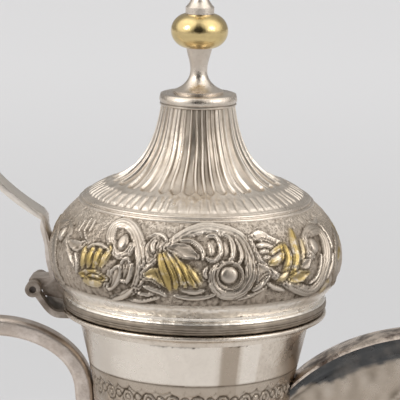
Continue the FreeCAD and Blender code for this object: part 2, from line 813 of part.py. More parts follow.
def pieces():
    """Every piece of the pot by name."""
    flange = mouth_flange()
    trough = spout_trough()
    return {
        "base_plate": base_plate(),
        "foot_ring": foot_ring(),
        "belly": belly(),
        "waist_ring": waist_ring(),
        "neck": neck(),
        "mouth_flange": flange,
        "spout_near_cheek": spout_cheek(trough, -1),
        "spout_far_cheek": spout_cheek(trough, 1),
        "spout_cover": spout_cover(trough),
        "handle": handle(),
        "handle_foot": handle_foot(),
        "hinge_bracket": hinge_bracket(flange),
        "hinge_pin": hinge_pin(),
        "thumb_lever": thumb_lever(),
        "lid_base_ring": lid_base_ring(),
        "lid_bezel": lid_bezel(),
        "lid_dome": lid_dome(),
        "seam_ring": seam_ring(),
        "lid_spire": lid_spire(),
        "crown_collar": crown_collar(),
        "finial_foot": finial_foot(),
        "finial_knop": finial_knop(),
        "finial_collar": finial_collar(),
        "finial_bud": finial_bud(),
        "finial_rod": finial_rod(),
        "finial_nut": finial_nut(),
    }


def main():
    os.makedirs("parts", exist_ok=True)
    for name, shape in pieces().items():
        print(name, len(shape.Solids), shape.isValid(), round(shape.Volume, 1))
        shape.exportStep("parts/" + name + ".step")


main()
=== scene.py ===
import bpy
import math
import numpy as np
from bpy.props import FloatProperty, FloatVectorProperty, IntProperty, PointerProperty
from mathutils import Matrix, Vector


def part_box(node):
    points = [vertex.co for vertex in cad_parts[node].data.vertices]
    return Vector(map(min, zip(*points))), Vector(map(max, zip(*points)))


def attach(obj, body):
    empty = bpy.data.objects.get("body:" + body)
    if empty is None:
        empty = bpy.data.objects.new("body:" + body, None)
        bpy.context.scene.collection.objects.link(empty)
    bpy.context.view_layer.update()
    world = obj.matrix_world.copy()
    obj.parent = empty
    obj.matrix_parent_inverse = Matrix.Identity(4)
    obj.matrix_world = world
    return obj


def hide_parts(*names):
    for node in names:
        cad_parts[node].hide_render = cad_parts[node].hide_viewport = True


bl_info = {
    "name": "Dallah coffee pot",
    "version": (1, 0, 0),
    "blender": (4, 5, 0),
    "location": "View3D > Sidebar > Dallah",
    "description": "Chases, flutes and finishes a silver coffee pot with a hinged domed lid",
    "category": "Object",
}

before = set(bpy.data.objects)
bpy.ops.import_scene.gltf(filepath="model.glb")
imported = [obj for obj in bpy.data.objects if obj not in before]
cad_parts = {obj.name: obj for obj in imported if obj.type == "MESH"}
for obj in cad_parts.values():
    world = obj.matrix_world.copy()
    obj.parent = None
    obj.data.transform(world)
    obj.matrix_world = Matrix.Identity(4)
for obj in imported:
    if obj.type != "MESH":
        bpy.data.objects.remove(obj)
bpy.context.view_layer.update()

MM = 0.001
CURVE_FULLNESS = 0.37
SHEET = 1.4
SEAM_HEADING = 137
BATCH = 20000


def cad_mm(node):
    """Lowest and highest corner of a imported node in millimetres."""
    low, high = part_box(node)
    return np.array(low) / MM, np.array(high) / MM


DOME_LOW, DOME_HIGH = cad_mm("lid_dome")
SPIRE_LOW, SPIRE_HIGH = cad_mm("lid_spire")
NECK_LOW, NECK_HIGH = cad_mm("neck")
BELLY_LOW, BELLY_HIGH = cad_mm("belly")
RIM_Z = cad_mm("mouth_flange")[1][2]


class DallahLid(bpy.types.PropertyGroup):
    foot_r: FloatProperty(
        name="Dome foot", description="Radius of the dome where it stands on the moulded ring",
        default=0.0495, unit="LENGTH")
    bulge_r: FloatProperty(
        name="Bulge", description="Radius of the dome's ground at its widest line",
        default=0.0566, unit="LENGTH")
    bulge_rise: FloatProperty(
        name="Bulge height", description="Height of the widest line above the dome's foot",
        default=0.0140, unit="LENGTH")
    seam_r: FloatProperty(
        name="Seam", description="Radius of the seam between the dome and the fluted spire",
        default=0.0436, unit="LENGTH")
    shoulder_r: FloatProperty(
        name="Shoulder", description="Radius where the long flutes start",
        default=0.0305, unit="LENGTH")
    shoulder_rise: FloatProperty(
        name="Shoulder height", description="Height of the shoulder above the seam",
        default=0.0077, unit="LENGTH")
    crown_r: FloatProperty(
        name="Crown", description="Radius of the spire under the crown",
        default=0.0138, unit="LENGTH")
    relief: FloatProperty(
        name="Relief", description="How far the scrolls stand off their ground",
        default=0.0017, unit="LENGTH")
    gadroons: IntProperty(name="Gadroons", description="Short lobes under the flutes", default=68, min=3)
    flute_depth: FloatProperty(
        name="Flute depth", description="Depth of the long flutes",
        default=0.0012, unit="LENGTH")


class DallahPot(bpy.types.PropertyGroup):
    waist_r: FloatProperty(
        name="Waist", description="Radius where the belly and the neck meet",
        default=0.0370, unit="LENGTH")
    mouth_r: FloatProperty(
        name="Mouth", description="Radius of the neck under the lip",
        default=0.0452, unit="LENGTH")
    belly_foot_r: FloatProperty(
        name="Belly foot", description="Radius of the belly on the base",
        default=0.0540, unit="LENGTH")
    belly_r: FloatProperty(
        name="Belly", description="Radius of the belly at its widest line",
        default=0.0688, unit="LENGTH")
    belly_rise: FloatProperty(
        name="Belly height", description="Height of the belly's widest line",
        default=0.0360, unit="LENGTH")
    line_drop: FloatProperty(
        name="Neck line", description="Drop of the engraved line below the lip",
        default=0.0214, unit="LENGTH")
    engraving: FloatProperty(
        name="Engraving", description="Depth of the engraved lines",
        default=0.0004, unit="LENGTH")


class DallahFinish(bpy.types.PropertyGroup):
    silver: FloatVectorProperty(
        name="Silver", description="Worn silver where it is rubbed bright",
        default=(0.76, 0.68, 0.59), subtype="COLOR", min=0, max=1)
    # Tarnish colour, also used for painted shade and painted dark reflections.
    tarnish: FloatVectorProperty(
        name="Tarnish", description="Silver that has dulled",
        default=(0.42, 0.35, 0.28), subtype="COLOR", min=0, max=1)
    forged: FloatVectorProperty(
        name="Forged silver", description="Handle, lever and hinge where they are handled",
        default=(0.78, 0.69, 0.62), subtype="COLOR", min=0, max=1)
    browned: FloatVectorProperty(
        name="Browned silver", description="Handle, lever and hinge where they have browned",
        default=(0.36, 0.28, 0.215), subtype="COLOR", min=0, max=1)
    # Colour of dirt in fine lines. It is also painted as shade in the broad hollows of the relief, and it
    # darkens the hinge bracket and the lever.
    grime_and_shade: FloatVectorProperty(
        name="Grime", description="Brown dirt, and painted shade in the broad hollows",
        default=(0.10, 0.075, 0.05), subtype="COLOR", min=0, max=1)
    # Colour of the painted shadow on the spout's cheeks, under the overhanging cover.
    shade: FloatVectorProperty(
        name="Painted blue-grey shadow", description="Dark blue-grey painted shadow under the spout's lip",
        default=(0.075, 0.08, 0.085), subtype="COLOR", min=0, max=1)
    gilding: FloatVectorProperty(
        name="Gilding", description="Worn fire gilding",
        default=(0.46, 0.34, 0.13), subtype="COLOR", min=0, max=1)


class DallahStage(bpy.types.PropertyGroup):
    floor_tone: FloatVectorProperty(
        name="Floor", description="Plain pale floor beside the pot",
        default=(0.62, 0.625, 0.64), subtype="COLOR", min=0, max=1)
    # Painted light: the floor is painted paler round the pot's foot and far behind it.
    near_light_tone: FloatVectorProperty(
        name="Floor at the pot", description="Floor round the pot's foot, painted paler as a pool of light",
        default=(0.72, 0.72, 0.73), subtype="COLOR", min=0, max=1)
    far_light_tone: FloatVectorProperty(
        name="Far floor", description="Floor behind the pot, painted paler as light falling far away",
        default=(0.755, 0.76, 0.78), subtype="COLOR", min=0, max=1)
    elevation: FloatProperty(
        name="Elevation", description="Camera height over the horizon",
        default=math.radians(11.0), subtype="ANGLE")
    azimuth: FloatProperty(
        name="Azimuth", description="Camera turn towards the spout",
        default=math.radians(4.0), subtype="ANGLE")
    distance: FloatProperty(
        name="Distance", description="Camera distance from the lid",
        default=0.88, unit="LENGTH")
    aim_height: FloatProperty(
        name="Aim", description="Height of the middle of the picture on the pot's axis",
        default=0.2093, unit="LENGTH")
    aim_side: FloatProperty(
        name="Aim to the side", description="How far the picture's middle lies towards the spout",
        default=0.0014, unit="LENGTH")
    lens: FloatProperty(name="Lens", description="Focal length in millimetres", default=207.9)
    roll: FloatProperty(
        name="Roll", description="Turn of the camera about its own line of sight",
        default=math.radians(1.1), subtype="ANGLE")


def setting(group):
    """The sizes or colours of one group."""
    return getattr(bpy.context.scene, "dallah_" + group)


def bezier(start, end, count):
    """Points of one curve between two stations (radius, height, heading in degrees)."""
    p0 = np.array(start[:2], float)
    p3 = np.array(end[:2], float)
    reach = CURVE_FULLNESS * np.linalg.norm(p3 - p0)
    turn0 = math.radians(start[2])
    turn3 = math.radians(end[2])
    p1 = p0 + reach * np.array([math.cos(turn0), math.sin(turn0)])
    p2 = p3 - reach * np.array([math.cos(turn3), math.sin(turn3)])
    t = np.linspace(0, 1, count)[:, None]
    return (1 - t) ** 3 * p0 + 3 * (1 - t) ** 2 * t * p1 + 3 * (1 - t) * t ** 2 * p2 + t ** 3 * p3


def outline(stations, rows):
    """Evenly spaced rows along an outline: places, outward directions and distances along it."""
    fine = np.vstack([bezier(a, b, 400)[:-1] for a, b in zip(stations, stations[1:])])
    fine = np.vstack([fine, np.array([stations[-1][:2]], float)])
    run = np.concatenate([[0], np.cumsum(np.linalg.norm(np.diff(fine, axis=0), axis=1))])
    at = np.linspace(0, run[-1], rows)
    place = np.stack([np.interp(at, run, fine[:, 0]), np.interp(at, run, fine[:, 1])], axis=1)
    along = np.gradient(place, axis=0)
    along /= np.linalg.norm(along, axis=1)[:, None]
    out = np.stack([along[:, 1], -along[:, 0]], axis=1)
    return place, out, at


def run_at_height(place, at, z):
    """Distance along an outline that climbs steadily to a height."""
    return float(np.interp(z, place[:, 1], at))


def give_name(piece, name):
    """Names a piece and its mesh."""
    piece.name = name
    piece.data.name = name


def select_only(pieces):
    """Selects pieces and makes the first of them active."""
    bpy.ops.object.select_all(action="DESELECT")
    for piece in pieces:
        piece.select_set(True)
    bpy.context.view_layer.objects.active = pieces[0]


def fresh_mesh(name):
    """A new one-point mesh in edit mode, to be drawn out into a profile."""
    bpy.ops.object.select_all(action="DESELECT")
    bpy.ops.mesh.primitive_plane_add(size=MM, location=(0, 0, 0))
    piece = bpy.context.active_object
    give_name(piece, name)
    bpy.ops.object.mode_set(mode="EDIT")
    bpy.ops.mesh.merge(type="CENTER")
    return piece


def face_outward():
    """Turns the faces of the active piece outward."""
    bpy.ops.object.mode_set(mode="EDIT")
    bpy.ops.mesh.select_all(action="SELECT")
    bpy.ops.mesh.normals_make_consistent(inside=False)
    bpy.ops.object.mode_set(mode="OBJECT")


def lathe(name, profile, columns):
    """A closed profile in millimetres, drawn point by point and spun round the pot's axis."""
    piece = fresh_mesh(name)
    steps = np.diff(profile, axis=0, prepend=[[0, 0]]) * MM
    bpy.ops.transform.translate(value=(steps[0][0], 0, steps[0][1]))
    for step in steps[1:]:
        bpy.ops.mesh.extrude_vertices_move(TRANSFORM_OT_translate={"value": (step[0], 0, step[1])})
    bpy.ops.object.mode_set(mode="OBJECT")
    ends = [piece.data.vertices[0], piece.data.vertices[len(profile) - 1]]
    for vertex in piece.data.vertices:
        vertex.select = False
    for vertex in ends:
        vertex.select = True
    bpy.ops.object.mode_set(mode="EDIT")
    bpy.ops.mesh.edge_face_add()
    bpy.ops.object.mode_set(mode="OBJECT")
    turning = piece.modifiers.new("Turning", "SCREW")
    turning.axis = "Z"
    turning.angle = 2 * math.pi
    turning.steps = columns
    turning.render_steps = columns
    turning.use_merge_vertices = True
    turning.merge_threshold = MM * 0.002
    bpy.ops.object.modifier_apply(modifier=turning.name)
    face_outward()
    bpy.ops.object.shade_smooth()
    return piece


def points_of(piece):
    """The vertices of a piece in millimetres."""
    flat = np.empty(len(piece.data.vertices) * 3, np.float32)
    piece.data.vertices.foreach_get("co", flat)
    return flat.reshape(-1, 3).astype(float) / MM


def radius_of(points):
    """Distances of points from the pot's axis."""
    return np.hypot(points[:, 0], points[:, 1])


def turn_of(points):
    """Degrees of points round the pot's axis, from the front."""
    return np.degrees(np.arctan2(points[:, 0], -points[:, 1]))


def turns(columns):
    """Degrees of the columns of a spun wall, from the front."""
    return np.arange(columns)[None, :] * 360 / columns


def put_points(piece, points):
    """Moves the vertices of a piece to places in millimetres."""
    piece.data.vertices.foreach_set("co", (points * MM).astype(np.float32).ravel())
    piece.data.update()


def paint(piece, name, values):
    """A named value on every vertex, read by the finish."""
    layer = piece.data.attributes.new(name, "FLOAT", "POINT")
    layer.data.foreach_set("value", values.astype(np.float32))


def wall(place, out, columns, name, inside_rows=8, sink=0.0):
    """A spun sheet wall, with the row and column of the outer face that each vertex belongs to."""
    pick = np.linspace(0, len(place) - 1, inside_rows).round().astype(int)
    inner = place[pick] - out[pick] * (SHEET + sink)
    inner[0, 1] = place[0, 1]
    inner[-1, 1] = place[-1, 1]
    profile = np.vstack([place, inner[::-1]])
    piece = lathe(name, profile, columns)
    points = points_of(piece)
    radius = radius_of(points)
    found = np.empty(len(points), int)
    for start in range(0, len(points), BATCH):
        part = slice(start, start + BATCH)
        aside = radius[part, None] - profile[None, :, 0]
        above = points[part, 2, None] - profile[None, :, 1]
        found[part] = (aside ** 2 + above ** 2).argmin(axis=1)
    turn = turn_of(points) % 360
    column = np.rint(turn / 360 * columns).astype(int) % columns
    return piece, points, found, column


def emboss(piece, points, row, column, place, out, height):
    """Pushes the outer face of a spun wall along its own outward direction."""
    outer = row < len(place)
    lift = np.zeros(len(points))
    lift[outer] = height[row[outer], column[outer]]
    radius = radius_of(points)
    share = np.zeros((len(points), 2))
    share[outer] = out[row[outer]]
    grown = radius + lift * share[:, 0]
    points[:, 0] *= grown / radius
    points[:, 1] *= grown / radius
    points[:, 2] += lift * share[:, 1]
    put_points(piece, points)


def paint_rows(piece, row, column, fields):
    """Carries named fields of the outer face to the vertices, with nothing on the inner face."""
    for name, field in fields.items():
        outer = row < len(field)
        values = np.zeros(len(row))
        values[outer] = field[row[outer], column[outer]]
        paint(piece, name, values)


def blurred(field, reach):
    """A field smoothed over its neighbours, closed round the pot."""
    soft = field
    for _ in range(2):
        soft = sum(np.roll(soft, k, axis=1) for k in range(-reach, reach + 1)) / (2 * reach + 1)
        padded = np.pad(soft, ((reach, reach), (0, 0)), mode="edge")
        soft = sum(padded[k:k + len(field)] for k in range(2 * reach + 1)) / (2 * reach + 1)
    return soft


def hollows(height, reach, depth):
    """Where a relief lies lower than what is round it, from 0 to 1."""
    return np.clip((blurred(height, reach) - height) / depth, 0, 1)


def dirt_and_shade(height):
    """Dirt that gathers in the fine lines of a relief, and painted shade in its broad hollows."""
    return np.clip(0.75 * hollows(height, 2, 0.28) + 0.65 * hollows(height, 8, 1.0), 0, 1)


def eased(value):
    """A step with soft ends, from 0 to 1."""
    t = np.clip(value, 0, 1)
    return t * t * (3 - 2 * t)


def bell(gap, width):
    """A soft line: 1 where the gap is 0, falling off beside it."""
    return np.exp(-(gap / width) ** 2)


def spells(aside, places):
    """Stretches round the pot (middle, half width and fade in degrees): 1 inside, with soft ends."""
    return sum(eased((half - np.abs(aside - middle)) / fade) for middle, half, fade in places)


def punched(chance, shape):
    """Fine punch marks, from -1 to 1."""
    return blurred(chance.uniform(-1, 1, shape), 1)


def open_ground(shape):
    """Where no scroll covers the ground, from 0 to 1."""
    return eased((0.14 - shape) / 0.12)


def ripple(x, y, seed, scale):
    """A smooth uneven field from -1 to 1, made of crossed waves."""
    chance = np.random.default_rng(seed)
    total = np.zeros(np.broadcast(x, y).shape)
    for _ in range(7):
        turn = chance.uniform(0, 2 * math.pi)
        pace = chance.uniform(0.6, 1.6) / scale
        wave = (x * math.cos(turn) + y * math.sin(turn)) * pace * 2 * math.pi
        total += np.sin(wave + chance.uniform(0, 6.3))
    return total / 4


# The scroll frieze. A place is (degrees along one repeat, millimetres above the frieze's foot).
REPEAT = 180.0
MM_PER_DEGREE = 0.95
FRIEZE_HEIGHT = 30.4
FRIEZE_START = 4.0
STEM = "stem"
RIDGE = "ridge"
PETAL = "petal"
LOBE = "lobe"
RING = "ring"
BOSS = "boss"
SCROLLS = (
    # kind, path or centre, half widths, height share, gilding
    # A ring has half widths across, along and of its ridge, and then its lean in degrees.
    (STEM, ((-63.7, -2.1), (-67.2, 2.8), (-70.3, 8.4), (-74.4, 14.4), (-76.4, 18.6), (-69.7, 20.6),
            (-62.6, 18.1), (-62.2, 15.1)), (0.8, 1.5, 1.2), 0.5, 0.0),
    (BOSS, (-67.9, 16.8), (2.0, 3.0), 0.9, 0.0),
    (RIDGE, ((-60.6, 23.5), (-56.9, 20.6), (-52.9, 18.1)), (0.5,), 0.6, 0.0),
    (RIDGE, ((-56.5, 22.7), (-52.9, 20.4), (-49.1, 17.8)), (0.5,), 0.6, 0.0),
    (STEM, ((-32.8, -2.6), (-26.5, -0.1), (-22.1, 3.6), (-20.4, 8.1), (-20.3, 12.9), (-21.9, 17.8),
            (-24.9, 22.5), (-29.3, 26.2), (-34.2, 27.5), (-37.5, 26.2), (-38.0, 23.2), (-36.3, 19.6),
            (-33.4, 16.6), (-30.0, 14.9), (-27.2, 15.8), (-26.0, 18.3)), (0.8, 1.7, 1.6, 1.2), 1.0, 0.0),
    (BOSS, (-30.2, 19.4), (2.3, 3.4), 1.05, 0.0),
    (RING, (-27.0, 9.4), (1.8, 4.0, 0.75, -4.0), 0.85, 0.0),
    (RING, (-31.5, 5.9), (1.8, 4.6, 0.75, -24.0), 0.8, 0.0),
    (RIDGE, ((-33.6, 8.6), (-34.7, 4.9), (-36.4, 1.8)), (0.55,), 0.6, 0.0),
    (RIDGE, ((-20.9, 4.1), (-18.8, 6.8), (-15.9, 7.0), (-12.5, 4.4)), (0.6,), 0.65, 0.0),
    (RIDGE, ((-22.4, 1.5), (-17.7, 0.8), (-12.7, 3.3)), (0.6,), 0.6, 0.0),
    (RIDGE, ((-37.3, -3.4), (-33.2, -3.7), (-26.4, 1.0), (-22.1, 3.6)), (0.6,), 0.6, 0.0),
    (STEM, ((-19.5, 8.9), (-16.4, 13.1), (-13.3, 16.8), (-9.6, 20.9), (-4.9, 24.6), (-0.3, 26.7), (4.5, 27.8),
            (10.0, 27.0), (15.6, 25.4), (19.5, 22.5), (21.4, 17.3), (21.7, 12.1), (20.7, 7.6), (18.2, 3.8),
            (14.6, 1.8), (10.6, 2.1), (7.5, 4.8), (6.5, 8.4), (7.4, 11.4), (9.7, 13.1), (12.6, 13.6)),
            (0.6, 1.5, 1.9, 1.8, 1.3, 0.8), 1.0, 0.0),
    (LOBE, ((-12.6, 22.5), (-15.9, 20.1), (-17.6, 13.9)), (2.3, 1.5), 0.75, 0.0),
    (RIDGE, ((-19.3, 23.0), (-16.6, 24.3), (-13.6, 23.8), (-11.4, 21.4)), (0.6,), 0.7, 0.0),
    (LOBE, ((-10.4, 19.1), (-4.8, 18.3), (0.8, 16.1)), (1.9, 1.1), 0.85, 0.0),
    (RIDGE, ((-6.3, 22.1), (-1.8, 22.3), (1.5, 20.2), (3.1, 17.6), (3.0, 15.0)), (0.8,), 0.9, 0.0),
    (RIDGE, ((4.9, 24.1), (7.9, 24.5), (9.8, 22.3), (10.3, 19.1), (9.3, 16.1), (6.8, 14.6),
             (4.2, 15.7)), (0.8,), 0.95, 0.0),
    (RIDGE, ((11.4, 24.9), (14.3, 23.5), (15.3, 19.8), (14.7, 15.9), (12.5, 14.0),
             (9.9, 14.0)), (0.8,), 0.95, 0.0),
    (RIDGE, ((16.8, 22.9), (18.1, 18.9), (18.0, 15.0), (15.7, 12.8), (12.6, 12.8)), (0.6,), 0.8, 0.0),
    (PETAL, ((5.6, 21.6), (6.6, 19.0), (6.4, 16.8)), (0.8,), 0.6, 0.0),
    (PETAL, ((11.9, 21.4), (12.5, 18.8), (11.9, 16.4)), (0.7,), 0.6, 0.0),
    (RING, (13.1, 9.1), (4.3, 4.5, 0.5, 0.0), 0.6, 0.0),
    (BOSS, (12.8, 9.2), (3.2, 3.2), 0.85, 0.0),
    (LOBE, ((23.6, 23.2), (28.4, 23.5), (31.3, 20.9), (38.2, 19.4)), (1.7, 1.0), 0.8, 0.0),
    (STEM, ((23.3, 22.2), (24.5, 16.8), (26.6, 12.4), (30.6, 8.4), (36.3, 4.8), (43.2, 1.3), (50.1, -0.7),
            (54.7, 1.5), (58.1, 6.5), (61.4, 11.6), (64.1, 17.3), (63.0, 21.4), (56.8, 21.9), (50.9, 19.1),
            (48.8, 15.1), (51.1, 13.1)), (0.6, 1.4, 1.7, 1.3), 1.0, 0.0),
    (BOSS, (53.7, 16.3), (2.4, 3.2), 1.05, 0.0),
    (RIDGE, ((25.2, 19.6), (28.6, 19.8), (32.8, 18.4)), (0.8,), 0.75, 0.0),
    (RIDGE, ((25.8, 17.0), (28.8, 17.4), (31.6, 16.2)), (0.6,), 0.65, 0.0),
    (RIDGE, ((26.8, 14.6), (29.0, 15.0), (31.0, 14.4)), (0.6,), 0.6, 0.0),
    (LOBE, ((24.8, 11.9), (26.5, 8.6), (24.3, 4.6)), (2.0, 1.2), 0.75, 0.0),
    (STEM, ((76.2, -5.1), (69.4, 3.1), (71.0, 8.9), (75.9, 13.9), (81.6, 17.8)), (0.8, 1.3, 0.8), 0.5, 0.0),
    (LOBE, ((-60.2, 14.6), (-54.2, 11.4), (-50.9, 6.5)), (1.8, 1.2), 0.7, 0.0),
    (LOBE, ((-59.4, 15.1), (-52.5, 14.6), (-48.5, 17.1)), (1.3, 0.9), 0.7, 0.0),
    (PETAL, ((-35.4, 17.2), (-36.2, 13.4), (-38.4, 8.8)), (1.3,), 0.8, 0.9),
    (PETAL, ((-39.8, 16.8), (-40.4, 12.4), (-41.6, 7.8)), (1.4,), 0.9, 1.0),
    (PETAL, ((-43.8, 16.0), (-43.9, 11.8), (-44.4, 7.4)), (1.3,), 0.9, 1.0),
    (PETAL, ((-48.0, 15.0), (-47.4, 11.2), (-47.4, 7.0)), (1.3,), 0.85, 0.9),
    (RIDGE, ((-46.6, 14.9), (-44.0, 16.8), (-40.0, 17.1), (-35.8, 16.1)), (0.5,), 0.6, 0.0),
    (LOBE, ((-47.8, 4.8), (-41.5, 5.2), (-34.8, 5.1)), (1.6, 1.1), 0.9, 1.0),
    (RIDGE, ((-43.8, 4.9), (-40.2, 5.4), (-37.0, 5.0)), (0.45,), 0.75, 1.0),
    (PETAL, ((-46.6, 2.3), (-42.0, 2.0), (-37.0, 2.8)), (1.2,), 0.6, 0.7),
    (LOBE, ((-18.2, 8.4), (-14.8, 9.1), (-11.5, 7.6), (-8.9, 3.8)), (1.7, 1.0), 0.8, 0.9),
    (PETAL, ((-2.6, 12.4), (0.4, 9.8), (3.8, 7.4)), (1.1,), 0.75, 0.5),
    (PETAL, ((-6.0, 14.1), (-2.3, 11.0), (2.6, 5.6)), (1.2,), 0.85, 0.9),
    (PETAL, ((-9.0, 16.2), (-5.2, 12.4), (-2.4, 8.0), (0.8, 4.6)), (1.2,), 0.9, 1.0),
    (PETAL, ((-11.0, 16.6), (-7.6, 12.4), (-5.0, 7.6), (-3.0, 4.6)), (1.2,), 0.95, 1.0),
    (PETAL, ((-12.6, 16.6), (-9.8, 12.2), (-7.6, 7.6), (-6.6, 3.6)), (1.2,), 0.95, 1.0),
    (PETAL, ((-13.8, 16.4), (-12.2, 11.8), (-10.2, 7.6), (-9.0, 3.0)), (1.1,), 0.9, 1.0),
    (RIDGE, ((-4.4, 3.3), (-0.1, 2.8), (3.8, 3.6)), (0.7,), 0.6, 0.0),
    (PETAL, ((31.2, 16.3), (34.8, 17.4), (39.3, 19.3)), (1.1,), 0.75, 1.0),
    (PETAL, ((29.8, 12.6), (33.7, 13.9), (37.9, 16.1)), (1.4,), 0.85, 1.0),
    (PETAL, ((38.6, 18.3), (38.9, 14.4), (37.2, 10.5), (34.5, 6.6)), (1.3,), 0.9, 1.0),
    (PETAL, ((45.6, 23.9), (43.9, 19.2), (42.9, 13.9), (41.3, 10.0), (38.3, 7.0)), (1.6,), 0.95, 1.0),
    (PETAL, ((48.2, 19.6), (47.0, 14.8), (44.8, 10.6)), (0.9,), 0.7, 0.6),
    (LOBE, ((37.8, 5.7), (42.5, 6.2), (47.6, 7.0)), (1.5, 1.0), 0.85, 0.9),
    (PETAL, ((32.8, 5.9), (35.3, 7.0), (37.4, 8.6)), (1.1,), 0.6, 0.7),
    (LOBE, ((44.6, 9.6), (47.0, 10.4), (49.4, 11.2)), (1.2, 0.8), 0.7, 0.0),
    (PETAL, ((72.7, 7.8), (75.8, 9.6), (78.1, 11.6)), (1.6,), 0.4, 1.0),
    (PETAL, ((60.5, -5.4), (61.2, -2.4), (63.6, 1.2)), (1.3,), 0.6, 0.8),
    (PETAL, ((83.4, 12.4), (85.2, 16.0), (86.6, 20.0)), (1.5,), 0.3, 1.0),
    (RIDGE, ((-57.6, 25.4), (-57.0, 22.6), (-57.0, 19.8)), (0.6,), 0.5, 0.0),
    (RIDGE, ((-54.4, 26.2), (-53.8, 23.4), (-53.6, 20.6)), (0.6,), 0.5, 0.0),
    (RIDGE, ((-51.2, 26.4), (-50.6, 23.8), (-50.2, 21.2)), (0.6,), 0.5, 0.0),
    (RIDGE, ((66.8, 26.0), (68.6, 22.0), (69.0, 17.4), (67.6, 12.6)), (0.7,), 0.55, 0.0),
    (RIDGE, ((61.0, 25.4), (65.6, 24.4), (69.4, 25.6)), (0.6,), 0.5, 0.0),
    (RIDGE, ((60.6, 2.6), (64.6, 6.4), (66.8, 11.0)), (0.7,), 0.55, 0.0),
    (RIDGE, ((16.6, -0.4), (22.4, 1.4), (27.6, 4.0), (32.0, 4.2)), (0.6,), 0.45, 0.0),
    (RIDGE, ((-25.6, -2.4), (-19.6, -2.2), (-13.0, 0.2)), (0.6,), 0.45, 0.0),
    (RIDGE, ((-33.5, -3.5), (-27.5, -1.1), (-23.4, 2.4)), (0.7,), 0.6, 0.0),
    (RIDGE, ((-19.1, 4.3), (-15.7, 3.1), (-12.6, 2.2), (-10.5, 0.8)), (0.7,), 0.6, 0.0),
    (RIDGE, ((-7.6, 1.4), (-2.6, 0.4), (3.0, 0.6), (7.6, 2.0)), (0.7,), 0.6, 0.0),
    (RIDGE, ((4.6, 12.2), (3.6, 10.2), (4.4, 8.2)), (0.6,), 0.65, 0.0),
    (RIDGE, ((22.0, 3.0), (26.0, 5.4), (28.6, 8.0)), (0.8,), 0.65, 0.0),
    (RIDGE, ((28.0, 5.4), (31.0, 3.4), (35.6, 1.8)), (0.7,), 0.6, 0.0),
    (RIDGE, ((-16.4, 17.0), (-17.4, 19.6), (-16.4, 22.0)), (0.7,), 0.65, 0.0),
    (RIDGE, ((-24.2, 12.0), (-24.6, 8.2), (-25.8, 4.6)), (0.7,), 0.65, 0.0),
    (RIDGE, ((-52.6, 12.0), (-50.6, 8.6), (-50.2, 4.8)), (0.7,), 0.6, 0.0),
    (RIDGE, ((48.8, 2.6), (53.0, 4.4), (55.6, 8.4), (57.2, 12.4)), (0.6,), 0.6, 0.0),
)


def smooth_path(path):
    """A path through its points with no corners, in millimetres."""
    points = np.array(path, float) * np.array([MM_PER_DEGREE, 1.0])
    points = np.vstack([2 * points[0] - points[1], points, 2 * points[-1] - points[-2]])
    made = []
    for a, b, c, d in zip(points, points[1:], points[2:], points[3:]):
        for t in np.linspace(0, 1, 6, endpoint=False):
            made.append(0.5 * (2 * b + (c - a) * t + (2 * a - 5 * b + 4 * c - d) * t ** 2
                               + (3 * b - a - 3 * c + d) * t ** 3))
    made.append(points[-2])
    return np.array(made)


def nearest(x, y, path):
    """Distance to a path and the share of the path's length at its nearest point."""
    best = np.full(x.shape, 1e9)
    share = np.zeros(x.shape)
    lengths = np.linalg.norm(np.diff(path, axis=0), axis=1)
    run = np.concatenate([[0], np.cumsum(lengths)])
    for k, (a, b) in enumerate(zip(path, path[1:])):
        step = b - a
        along = np.clip(((x - a[0]) * step[0] + (y - a[1]) * step[1]) / max(step @ step, 1e-9), 0, 1)
        gap = np.hypot(x - a[0] - along * step[0], y - a[1] - along * step[1])
        closer = gap < best
        best = np.where(closer, gap, best)
        share = np.where(closer, (run[k] + along * lengths[k]) / run[-1], share)
    return best, share


